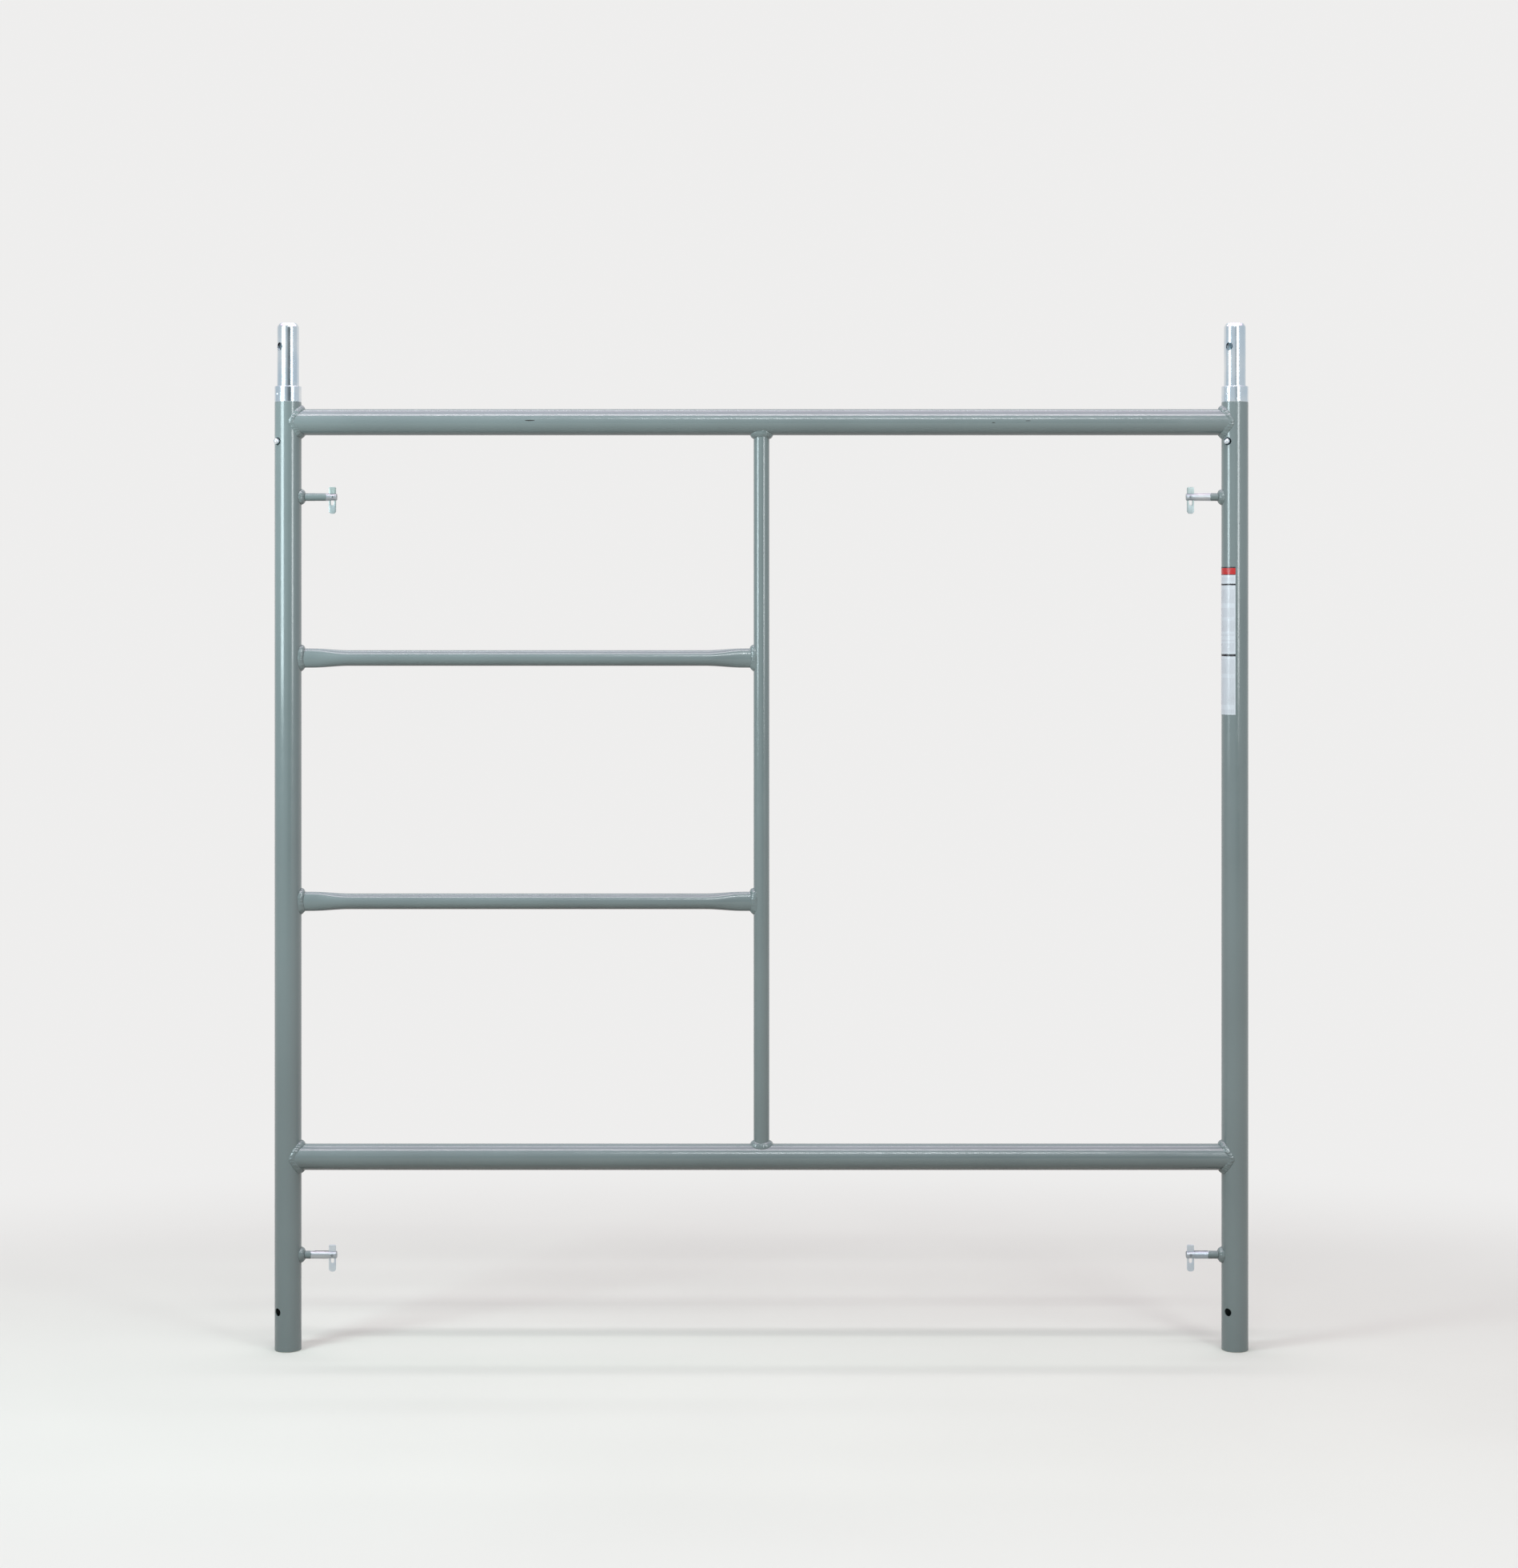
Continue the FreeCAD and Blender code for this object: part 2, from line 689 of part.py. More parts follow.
def weld_post():
    length = 2 * bearer_radius.number + 2 * size("weld_leg").number
    branch = round_bar(post_radius.number, length)
    shape = bead(bearer_radius, branch, post_radius, post_radius, size("weld_leg"))
    make_beads("post_welds", [
        (shape, (0, 0, bottom_bearer_height), -QUARTER_TURN, Y_AXIS),
        (shape, (0, 0, top_bearer_height), QUARTER_TURN, Y_AXIS),
    ])


def weld_rungs():
    half_depth, half_height = size("rung_end_depth") / 2, size("rung_end_height") / 2
    length = 2 * leg_radius.number + 2 * size("weld_leg").number
    branch = oval_bar(half_depth.number, half_height.number, length)
    at_leg, at_post = [
        bead(header, branch, half_depth, half_height, size("weld_leg"), crowned=True)
        for header in (leg_radius, post_radius)
    ]
    beads = []
    for height in RUNG_HEIGHTS.values():
        beads.append((at_leg, (-leg_axis, 0, height), 0, Z_AXIS))
        beads.append((at_post, (0, 0, height), HALF_TURN, Z_AXIS))
    make_beads("rung_welds", beads)


def weld_studs():
    weld_leg = size("stud_weld_leg")
    length = stud_end.number
    root = round_bar(stud_radius.number - size("stud_root_cut").number, length)
    shank = round_bar(stud_radius.number, length)
    shank.translate(FreeCAD.Vector(leg_radius.number + weld_leg.number, 0, 0))
    shape = bead(leg_radius, root.fuse(shank), stud_radius, stud_radius, weld_leg)
    make_beads("stud_welds", [
        (shape, (side * leg_axis, 0, height), facing(side), Z_AXIS)
        for side in SIDES.values()
        for height in STUD_HEIGHTS.values()
    ])


# Blank label, wrapped round the right leg from its front towards the middle of the frame
def make_label(label):
    inner = leg_radius + size("label_gap")
    spread = HALF_TURN / math.pi * (size("label_width") / leg_radius)
    turn = -size("label_edge_turn") - QUARTER_TURN - spread
    place = (leg_axis, 0, frame_height - size("label_drop") - size("label_height"))
    skins = []
    for name, radius in (("outside", inner + size("label_thickness")), ("inside", inner)):
        skin = doc.addObject("Part::Cylinder", f"{label}_{name}")
        bind(skin, Radius=radius, Height=size("label_height"))
        put(skin, place, turn)
        skins.append(skin)
    bind(skins[0], Angle=spread)
    named(cut_away(label, *skins), label)


collars = []
studs = []
for name, side in SIDES.items():
    make_leg(f"{name}_leg", side)
    make_pin(f"{name}_coupling_pin", side)
    collars.append(make_collar(f"{name}_collar", side))
    make_button(f"{name}_snap_button", side)
    make_spring(f"{name}_button_spring", side)
    for level, height in STUD_HEIGHTS.items():
        studs.append(make_stud(f"{level}_{name}_stud", side, height))
        make_rivet(f"{level}_{name}_rivet", side, height)
        make_toggle(f"{level}_{name}_toggle", side, height)
as_one_node("pin_collars", collars)
as_one_node("lock_studs", studs)
for name, height in BEARER_HEIGHTS.items():
    make_bearer(f"{name}_bearer", height)
make_post("centre_post")
for name, height in RUNG_HEIGHTS.items():
    make_rung(f"{name}_rung", height)
weld_bearers()
weld_post()
weld_rungs()
weld_studs()
make_label("label")
doc.recompute()

for item in doc.Objects:
    if "Invalid" in item.State or "Error" in item.State:
        raise RuntimeError(f"{item.Label} failed to build: {item.State}")
for piece in pieces:
    if piece.Shape.isNull() or not piece.Shape.isValid():
        raise RuntimeError(f"{piece.Label} has no valid solid")
os.makedirs("parts", exist_ok=True)
for piece in pieces:
    piece.Shape.exportStep(f"parts/{piece.Label}.step")
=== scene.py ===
"""Scaffold step frame: smooth drilled and coped tubes, rippled welds, finishes, studio light and camera.

Metres, +Z up, front towards -Y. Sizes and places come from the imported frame; the few that it does not
show, such as tube walls and edge rounding, are named here.
"""
import json
import math

import bmesh
import bpy
import numpy as np
from mathutils import Matrix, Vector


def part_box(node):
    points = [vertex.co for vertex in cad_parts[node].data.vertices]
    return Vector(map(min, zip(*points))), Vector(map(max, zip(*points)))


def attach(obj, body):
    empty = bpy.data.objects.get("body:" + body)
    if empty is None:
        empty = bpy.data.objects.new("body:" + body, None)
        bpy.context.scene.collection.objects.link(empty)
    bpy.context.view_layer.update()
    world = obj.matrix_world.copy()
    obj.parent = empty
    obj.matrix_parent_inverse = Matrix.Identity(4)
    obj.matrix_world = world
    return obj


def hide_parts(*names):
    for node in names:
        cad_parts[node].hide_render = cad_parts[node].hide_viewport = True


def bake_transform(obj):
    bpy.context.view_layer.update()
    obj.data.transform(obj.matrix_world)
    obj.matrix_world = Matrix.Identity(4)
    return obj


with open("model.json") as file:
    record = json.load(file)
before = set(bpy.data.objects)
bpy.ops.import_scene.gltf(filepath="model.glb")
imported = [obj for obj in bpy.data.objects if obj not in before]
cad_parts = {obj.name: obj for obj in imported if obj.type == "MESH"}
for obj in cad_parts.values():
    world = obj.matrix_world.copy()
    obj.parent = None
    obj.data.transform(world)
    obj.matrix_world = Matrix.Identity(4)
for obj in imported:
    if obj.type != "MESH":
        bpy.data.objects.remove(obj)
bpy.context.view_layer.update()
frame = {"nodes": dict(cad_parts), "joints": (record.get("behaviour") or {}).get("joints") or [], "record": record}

MM = 0.001
FULL_TURN = 2 * math.pi
QUARTER_TURN = math.pi / 2
UP = (0, 0, 1)
SIDES = {"left": -1, "right": 1}
LEVELS = ("lower", "upper")
mounts = {mount["name"]: mount for mount in frame["record"]["mounts"]}
joints = {joint["name"]: joint for joint in frame["joints"]}


def span(node, letter):
    """Middle and half length of a node's box along one axis."""
    low, high = [getattr(corner, letter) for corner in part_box(node)]
    return (low + high) / 2, (high - low) / 2


def mount_size(name, key):
    """One size of a mount, such as its radius or its length."""
    return mounts[name]["dims"][key] * MM


# Lines and radii of the frame
LEG_AXIS, LEG_RADIUS = span("right_leg", "x")
FRAME_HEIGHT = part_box("left_leg")[1].z
REAM_RADIUS = mount_size("left_leg_socket", "r_mm")
REAM_DEPTH = mount_size("left_leg_socket", "length_mm")
REAM_CUT = 0.3 * MM
LEG_BORE = REAM_RADIUS - REAM_CUT
HOLE_RADIUS = mount_size("left_foot_hole", "r_mm")
HOLE_LOW = mounts["left_foot_hole"]["pos_m"][2]
HOLE_WAY = mounts["left_foot_hole"]["axis"]
HOLE_TURN = math.atan2(HOLE_WAY[1], HOLE_WAY[0])
BEARER_RADIUS = span("top_bearer", "z")[1]
BEARER_HEIGHTS = {level: span(f"{level}_bearer", "z")[0] for level in ("bottom", "top")}
BEARER_WALL = 2.4 * MM
POST_RADIUS = span("centre_post", "x")[1]
POST_WALL = 2.1 * MM
RUNG_HEIGHTS = {level: span(f"{level}_rung", "z")[0] for level in LEVELS}
RUNG_RADIUS = span("lower_rung", "y")[1]
RUNG_WALL = 2.1 * MM
RUNG_END_HEIGHT = span("lower_rung", "z")[1]
RUNG_END_DEPTH = 8.5 * MM
RUNG_FLAT = 16 * MM
RUNG_FLARE = 62 * MM
STUD_RADIUS = mount_size("lower_left_stud", "r_mm")
STUD_HEIGHTS = {level: mounts[f"{level}_left_stud"]["pos_m"][2] for level in LEVELS}
PIN_RADIUS = mount_size("left_coupling_pin", "r_mm")
PIN_WALL = 3 * MM
PIN_BORE = PIN_RADIUS - PIN_WALL
SEAT_CUT = 0.4 * MM
PIN_SEAT = PIN_RADIUS - SEAT_CUT
PIN_LOW, PIN_HIGH = [corner.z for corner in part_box("left_coupling_pin")]
PIN_HOLE_HEIGHT = mounts["left_pin_hole"]["pos_m"][2]
COLLAR_LOW, COLLAR_HIGH = [corner.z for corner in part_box("pin_collars")]
BUTTON_HEIGHT, BUTTON_RADIUS = span("left_snap_button", "z")

# Smoothness of the meshes
TURN_CELLS = 96
EDGE_STEPS, CURVE_STEPS = 5, 6
CREASE, NO_CREASE = math.radians(35), math.pi
MERGE_DISTANCE = 1e-7
TINY = 1e-9


# Surfaces
def grid_cells(rows, columns, loop_rows, loop_columns):
    """Corner numbers of each cell of a grid that may close on itself along either parameter."""
    row = np.arange(rows if loop_rows else rows - 1)[:, None]
    column = np.arange(columns if loop_columns else columns - 1)[None, :]
    next_row, next_column = (row + 1) % rows, (column + 1) % columns
    corners = (row * columns + column, row * columns + next_column,
               next_row * columns + next_column, next_row * columns + column)
    return np.stack(np.broadcast_arrays(*corners), axis=-1)


def surface(points, loop_rows=False, loop_columns=True, kept=None):
    """A grid of points and the cells between them, all or those that a mask keeps."""
    rows, columns = points.shape[:2]
    cells = grid_cells(rows, columns, loop_rows, loop_columns)
    return points.reshape(-1, 3), cells.reshape(-1, 4) if kept is None else cells[kept]


def moved(skin, offset):
    """A surface with an offset added to its points."""
    return skin[0] + np.asarray(offset), skin[1]


def on_leg(skins, side):
    """Surfaces about the Z axis, moved to a leg's axis."""
    return [moved(skin, (side * LEG_AXIS, 0, 0)) for skin in skins]


def dot(one, other):
    """Sum of the products of two rows of directions."""
    return np.sum(one * other, axis=-1, keepdims=True)


def unit(ways):
    """Directions divided by their lengths."""
    return ways / np.linalg.norm(ways, axis=-1, keepdims=True)


def make_piece(name, skins, finish, body, stands_for=(), crease=CREASE, follows=None):
    """Join surfaces into one closed mesh, smooth up to a crease angle, and seat it on its body.

    A piece given something to follow keeps its points in world axes and is not seated on its body.
    """
    starts = np.cumsum([0] + [len(points) for points, _ in skins[:-1]])
    points = np.concatenate([points for points, _ in skins])
    cells = np.concatenate([cells + start for (_, cells), start in zip(skins, starts)])
    mesh = bpy.data.meshes.new(name)
    mesh.vertices.add(len(points))
    mesh.vertices.foreach_set("co", points.ravel())
    mesh.loops.add(cells.size)
    mesh.loops.foreach_set("vertex_index", cells.ravel())
    mesh.polygons.add(len(cells))
    mesh.polygons.foreach_set("loop_start", np.arange(0, cells.size, 4))
    mesh.update(calc_edges=True)
    work = bmesh.new()
    work.from_mesh(mesh)
    bmesh.ops.remove_doubles(work, verts=work.verts, dist=MERGE_DISTANCE)
    bmesh.ops.recalc_face_normals(work, faces=work.faces)
    work.to_mesh(mesh)
    work.free()
    mesh.shade_smooth()
    mesh.set_sharp_from_angle(angle=crease)
    mesh.materials.append(finish)
    piece = bpy.data.objects.new(name, mesh)
    bpy.context.scene.collection.objects.link(piece)
    if follows:
        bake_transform(piece)
    else:
        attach(piece, body)
    if stands_for:
        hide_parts(*stands_for)


# Turned pieces and rounded edges
def turned(profile, turns):
    """Points (r cos a, r sin a, z) of a profile of (r, z) carried round the Z axis."""
    radius, height = profile[:, :1], profile[:, 1:]
    rows = (radius * np.cos(turns), radius * np.sin(turns), height + 0 * turns)
    return np.stack(rows, axis=-1)


def turned_about(profile, middle, way, count):
    """Points of a profile of (r, s) carried round an axis through a middle: s runs along the axis."""
    axis = unit(np.array(way, float))
    one = unit(np.cross(axis, UP))
    other = np.cross(axis, one)
    turns = (FULL_TURN * np.arange(count) / count)[None, :, None]
    radius, along = profile[:, 0][:, None, None], profile[:, 1][:, None, None]
    return np.asarray(middle) + along * axis + radius * (np.cos(turns) * one + np.sin(turns) * other)


def quarter(radius, height, edge, start):
    """Rows of a quarter circle of the given size about (radius, height), from a start angle."""
    angle = start + np.linspace(0, QUARTER_TURN, EDGE_STEPS)
    return np.stack([radius + edge * np.cos(angle), height + edge * np.sin(angle)], axis=-1)


def dome(radius, tip, rise, steps):
    """Rows of a quarter ellipse, from (radius, tip - rise) in to the axis at the tip."""
    angle = np.linspace(0, QUARTER_TURN, steps)
    return np.stack([radius * np.cos(angle), tip - rise + rise * np.sin(angle)], axis=-1)


def curve_through(start, corner, end, steps=CURVE_STEPS):
    """Points that round a corner: (1 - t)^2 start + 2 t (1 - t) corner + t^2 end."""
    t = np.linspace(0, 1, steps)[:, None]
    return (1 - t) ** 2 * start + 2 * t * (1 - t) * corner + t**2 * end


# Drilled tubes
HOLE_BAND = 1.7 * HOLE_RADIUS
HOLE_BAND_ROWS, HOLE_BAND_COLUMNS, HOLE_RINGS = 14, 8, 6
PLAIN_ROWS = 9


def wall_rows(radius, low, high, hole_heights):
    """Profile rows up a plain wall, closer together in the bands that holes will take."""
    bands = [height + HOLE_BAND * np.linspace(-1, 1, HOLE_BAND_ROWS + 1) for height in hole_heights]
    plain = np.linspace(low, high, PLAIN_ROWS)
    clear = np.all([np.abs(plain - height) > HOLE_BAND for height in hole_heights], axis=0)
    heights = np.sort(np.concatenate([plain[clear], *bands]))
    return np.stack([np.full_like(heights, radius), heights], axis=-1)


def block_rim(columns, rows):
    """Column and row offsets of the rim of a block of cells, in order round it."""
    across = np.concatenate([np.arange(-columns, columns), np.full(rows, columns),
                             np.arange(columns, -columns, -1), np.full(rows, -columns)])
    along = np.concatenate([np.zeros(2 * columns, int), np.arange(rows),
                            np.full(2 * columns, rows), np.arange(rows, 0, -1)])
    return across, along


def drilled(profile, holes):
    """A turned closed profile with round cross holes, each given as (turn, height, outer and inner wall).

    Round each hole the wall's cells give way to a patch between the hole's edge, where the turn from
    the hole's middle is asin(h cos f / r) and the rise is h sin f, and the rim of a block of cells.
    A short skin then joins the two walls' edges through the hole.
    """
    step = FULL_TURN / TURN_CELLS
    turns = HOLE_TURN + FULL_TURN * np.arange(TURN_CELLS) / TURN_CELLS
    across, along = block_rim(HOLE_BAND_COLUMNS, HOLE_BAND_ROWS)
    ring = np.linspace(0, 1, HOLE_RINGS)[:, None]
    kept = np.ones((len(profile), TURN_CELLS), bool)
    skins = []
    for turn, height, walls in holes:
        middle = round((turn - turns[0]) / step)
        columns = np.arange(middle - HOLE_BAND_COLUMNS, middle + HOLE_BAND_COLUMNS) % TURN_CELLS
        edges = []
        for radius in walls:
            on_wall = np.abs(profile[:, 0] - radius) < TINY
            in_band = np.abs(profile[:, 1] - height) < HOLE_BAND + TINY
            first = np.flatnonzero(on_wall & in_band)[0]
            kept[np.ix_(np.arange(first, first + HOLE_BAND_ROWS), columns)] = False
            rise = profile[first + along, 1] - height
            way = np.arctan2(rise / HOLE_BAND, across / HOLE_BAND_COLUMNS)
            edge_turn = np.arcsin(HOLE_RADIUS * np.cos(way) / radius)
            angle = turn + (1 - ring) * edge_turn + ring * across * step
            z = height + (1 - ring) * HOLE_RADIUS * np.sin(way) + ring * rise
            patch = np.stack([radius * np.cos(angle), radius * np.sin(angle), z], axis=-1)
            skins.append(surface(patch))
            edges.append(patch[0][np.argsort(way)])
        skins.append(surface(np.stack(edges)))
    skins.append(surface(turned(profile, turns), loop_rows=True, kept=kept))
    return skins


def through_hole(height, walls):
    """The two holes that a drill leaves in a tube's sides at a height."""
    return [(HOLE_TURN + way, height, walls) for way in (0, math.pi)]


# Coped tubes
def coped_tube(along, half_depth, half_height, wall, start, end):
    """A closed tube along its first axis whose end rows follow the round headers that it meets.

    A row is (s, d cos a, h sin a). The first row has s = header axis + sqrt(r^2 - y^2), the last row
    the same from the other header, and the bore is the same with the wall taken off.
    """
    turns = FULL_TURN * np.arange(TURN_CELLS) / TURN_CELLS
    walls = []
    for inset in (0, wall):
        y = (half_depth - inset)[:, None] * np.cos(turns)
        h = (half_height - inset)[:, None] * np.sin(turns)
        s = along[:, None] + 0 * turns
        s[0] = start[0] + np.sqrt(start[1] ** 2 - y[0] ** 2)
        s[-1] = end[0] - np.sqrt(end[1] ** 2 - y[-1] ** 2)
        walls.append(np.stack([s, y, h], axis=-1))
    return np.concatenate([walls[0], walls[1][::-1]])


# Weld beads: length of the fillet's legs, crown, ripple height and ripple pitch; how far the ripples lag
# at the toes and how they fade there, how far the toes stray, and the share of relief on the lower half
HEAVY_BEAD = dict(leg=6.0 * MM, crown=1.0 * MM, ripple=0.9 * MM, pitch=5.0 * MM,
                  lag=0.45, fade=0.5, stray=1.0, calm=0.45)
LUMPY_BEAD = dict(leg=6.0 * MM, crown=1.5 * MM, ripple=0.45 * MM, pitch=4.4 * MM,
                  lag=1.2, fade=1.3, stray=0.8, calm=0.4)
BLOB_BEAD = dict(leg=6.5 * MM, crown=1.6 * MM, ripple=0.45 * MM, pitch=3.4 * MM,
                 lag=1.2, fade=1.8, stray=0.5, calm=0.7)
SMOOTH_BEAD = dict(leg=6.0 * MM, crown=0.9 * MM, ripple=0.4 * MM, pitch=5.4 * MM,
                   lag=0.8, fade=1.2, stray=0.5, calm=0.8)
TOE_SINK, ROOT_SINK = 0.15 * MM, 1.2 * MM
# where the walls meet at a flat angle, the header's lap shrinks and the branch's lap grows by these shares
HEADER_SLIDE, BRANCH_SLIDE = 1.0, 0.45
# waves of the hand round a branch, as (height, count in a turn, share of the start)
HEADER_TOE_WAVES = ((0.07, 5, 1), (0.05, 11, 2))
BRANCH_TOE_WAVES = ((0.06, 4, -1), (0.05, 13, 1))
PACE_WAVES = ((0.35, 3, 1), (0.25, 7, -2))
HEIGHT_WAVE, HEIGHT_BEAT = ((0.25, 5, 3),), ((1, 9, -1),)
RIPPLE_MEAN = 0.75
CALM_STEEPNESS, CALM_OFFSET = 3, 0.6
BEAD_CELLS_PER_RIPPLE, FACE_CELLS = 12, 12
OVAL_STEPS = 2001


def waves(angle, start, parts, base=0):
    """A base plus the sum of height sin(count a + share start)."""
    return sum((height * np.sin(count * angle + share * start) for height, count, share in parts), base)


def oval_steps(half_depth, half_height, pitch):
    """Ripples that fit round an oval, and the shares of its length and the angles of their even steps."""
    fine = np.linspace(0, FULL_TURN, OVAL_STEPS)
    pieces = np.hypot(half_depth * np.sin(fine[1:]), half_height * np.cos(fine[1:]))
    reach = np.cumsum(np.concatenate([[0], pieces]))
    ripples = round(reach[-1] * fine[1] / pitch)
    cells = ripples * BEAD_CELLS_PER_RIPPLE
    share = np.arange(cells) / cells
    return ripples, share[:, None], np.interp(share, reach / reach[-1], fine)[:, None]


def bead(header, half_depth, half_height, style, start):
    """A rippled fillet weld round a branch along X on a round header along Z.

    At each angle the saddle point lies on both walls. The toes stand off it along the header's wall and
    along the branch. The face is the chord between the toes, raised along the walls' shared normal by a
    crown 1 - (2v - 1)^2 and by ripples sin(pi p)^2, where p counts ripples along the saddle and lags
    towards the toes, so each ripple is a crescent. The hand's pace sways, so the ripples are uneven in
    length and height, and they are calmer on the lower half.
    """
    ripples, share, angle = oval_steps(half_depth, half_height, style["pitch"])
    across, up = half_depth * np.cos(angle), half_height * np.sin(angle)
    out = np.sqrt(header**2 - across**2)
    saddle = np.concatenate([out, across, up], axis=1)
    header_normal = np.concatenate([out, across, 0 * up], axis=1) / header
    slopes = [0 * out, np.cos(angle) / half_depth, np.sin(angle) / half_height]
    branch_normal = unit(np.concatenate(slopes, axis=1))
    likeness = dot(header_normal, branch_normal)
    away = unit(branch_normal - header_normal * likeness)
    wander = 1 + style["stray"] * waves(angle, start, HEADER_TOE_WAVES)
    sway = 1 + style["stray"] * waves(angle, start, BRANCH_TOE_WAVES)
    header_lap = style["leg"] * (1 - HEADER_SLIDE * likeness**2) * wander
    round_way = np.concatenate([-across, out, 0 * up], axis=1) / header
    bearing = np.arctan2(across, out) + header_lap * dot(away, round_way) / header
    sunk = header - TOE_SINK
    rise = up + header_lap * away[:, 2:]
    header_toe = np.concatenate([sunk * np.cos(bearing), sunk * np.sin(bearing), rise], axis=1)
    branch_lap = style["leg"] * (1 + BRANCH_SLIDE * likeness**2) * sway
    branch_toe = saddle + branch_lap * np.array([1, 0, 0]) - branch_normal * TOE_SINK
    shared = unit(header_normal + branch_normal)
    v = np.linspace(0, 1, FACE_CELLS + 1)[None, :, None]
    swell = 1 - (2 * v - 1) ** 2
    pace = waves(angle, start, PACE_WAVES, ripples * share)
    count = pace[:, :, None] - style["lag"] * (2 * v - 1) ** 2
    upper = 0.5 + 0.5 * np.tanh(CALM_STEEPNESS * up / half_height + CALM_OFFSET)
    strength = style["calm"] + (1 - style["calm"]) * upper[:, :, None]
    beat = RIPPLE_MEAN + waves(angle, start, HEIGHT_WAVE) * waves(angle, start, HEIGHT_BEAT)
    uneven = strength * beat[:, :, None]
    ripple = style["ripple"] * uneven * np.sin(math.pi * count) ** 2 * swell ** style["fade"]
    face = header_toe[:, None] * (1 - v) + branch_toe[:, None] * v
    face = face + shared[:, None] * (style["crown"] * strength * swell + ripple)
    root = (saddle - shared * ROOT_SINK)[:, None]
    return np.concatenate([face, root], axis=1)


def seat_bead(points, place, branch_way, header_way):
    """Turn a bead so its branch and header run along the given axes, and move it to its place."""
    x, z = np.array(branch_way, float), np.array(header_way, float)
    axes = np.stack([x, np.cross(z, x), z])
    return surface(points @ axes + np.array(place, float), loop_rows=True)


# Flat plates
def rounded_box_reach(way, half_width, half_length, corner):
    """Distance from the middle to the edge of a rounded rectangle, along directions given as angles.

    It is the nearer of the flat sides' half width / cos and half length / sin, or the far crossing of
    the ray with a corner's circle.
    """
    c, s = np.abs(np.cos(way)), np.abs(np.sin(way))
    flat_side = half_width / np.maximum(c, TINY)
    flat_end = half_length / np.maximum(s, TINY)
    a, b = half_width - corner, half_length - corner
    along = c * a + s * b
    arc = along + np.sqrt(np.maximum(along**2 - a**2 - b**2 + corner**2, 0))
    reach = np.where(flat_side * s <= b, flat_side, arc)
    return np.where(flat_end * c <= a, flat_end, reach)


# Nodes of the finishes
def ink(red, green, blue):
    """A colour written in 0-255 display values, as the linear colour a shader takes.

    Each share of full is divided by 12.92 near black, and is ((share + 0.055) / 1.055)^2.4 above that.
    """
    shares = np.array([red, green, blue]) / 255
    linear = np.where(shares <= 0.04045, shares / 12.92, ((shares + 0.055) / 1.055) ** 2.4)
    return (*linear, 1.0)


def new_finish(name):
    """A new material, its nodes and its shader."""
    material = bpy.data.materials.new(name)
    material.use_nodes = True
    tree = material.node_tree
    return material, tree, tree.nodes["Principled BSDF"]


def wire(tree, output, node, key):
    """Link an output to an input."""
    tree.links.new(output, node.inputs[key])


def add_node(tree, kind, inputs=None, **settings):
    """A node with its settings, whose inputs are numbers or other nodes' outputs."""
    node = tree.nodes.new(kind)
    for key, value in settings.items():
        setattr(node, key, value)
    for key, value in (inputs or {}).items():
        if isinstance(value, bpy.types.NodeSocket):
            wire(tree, value, node, key)
        else:
            node.inputs[key].default_value = value
    return node


def math_node(tree, operation, *values):
    """One sum, product or comparison of numbers or outputs."""
    return add_node(tree, "ShaderNodeMath", dict(enumerate(values)), operation=operation).outputs[0]


def squares(tree, one, other):
    """one^2 + other^2."""
    return math_node(tree, "MULTIPLY_ADD", one, one, math_node(tree, "MULTIPLY", other, other))


def object_place(tree):
    """The point of the piece, in its own axes."""
    return add_node(tree, "ShaderNodeTexCoord").outputs["Object"]


def axes_of(tree, place):
    """The x, y and z of a place."""
    return add_node(tree, "ShaderNodeSeparateXYZ", {0: place}).outputs


def stretched(tree, place, scale):
    """A place with each axis multiplied by its scale."""
    return add_node(tree, "ShaderNodeMapping", {"Vector": place, "Scale": scale}).outputs[0]


def noise(tree, place, pattern):
    """Clouds of noise about 0.5, of a pattern given as (repeats to the metre, depth of detail)."""
    inputs = {"Vector": place, "Scale": pattern[0], "Detail": pattern[1]}
    return add_node(tree, "ShaderNodeTexNoise", inputs).outputs["Fac"]


def remap(tree, value, from_range, to_range=(0.0, 1.0)):
    """A value carried in a straight line from one range to another, and held at its ends."""
    inputs = {"Value": value, "From Min": from_range[0], "From Max": from_range[1],
              "To Min": to_range[0], "To Max": to_range[1]}
    return add_node(tree, "ShaderNodeMapRange", inputs).outputs[0]


def clouds(tree, place, pattern, from_range, to_range=(0.0, 1.0)):
    """Noise of a pattern, carried from one range to another."""
    return remap(tree, noise(tree, place, pattern), from_range, to_range)


def eased(tree, value, start, end):
    """0 before start, 1 past end, and a smooth step between."""
    step = add_node(tree, "ShaderNodeMapRange", {0: value, 1: start, 2: end}, interpolation_type="SMOOTHSTEP")
    return step.outputs[0]


def blend_colour(tree, share, one, other):
    """(1 - share) one + share other, of two colours."""
    return add_node(tree, "ShaderNodeMix", {0: share, 6: one, 7: other}, data_type="RGBA").outputs[2]


def blend_number(tree, share, one, other):
    """(1 - share) one + share other, of two numbers."""
    return add_node(tree, "ShaderNodeMix", {0: share, 2: one, 3: other}, data_type="FLOAT").outputs[0]


def coated(tree, shader, colour, rough):
    """Give a shader its colour and its roughness."""
    wire(tree, colour, shader, "Base Color")
    wire(tree, rough, shader, "Roughness")


def bumped(tree, shader, height, depth):
    """Tilt a shader's normal by a height of the given depth."""
    bump = add_node(tree, "ShaderNodeBump", {"Height": height, "Distance": depth, "Strength": 1.0})
    wire(tree, bump.outputs[0], shader, "Normal")


# Ranges of noise that finishes stretch
WIDE, NARROW = (0.3, 0.7), (0.35, 0.65)

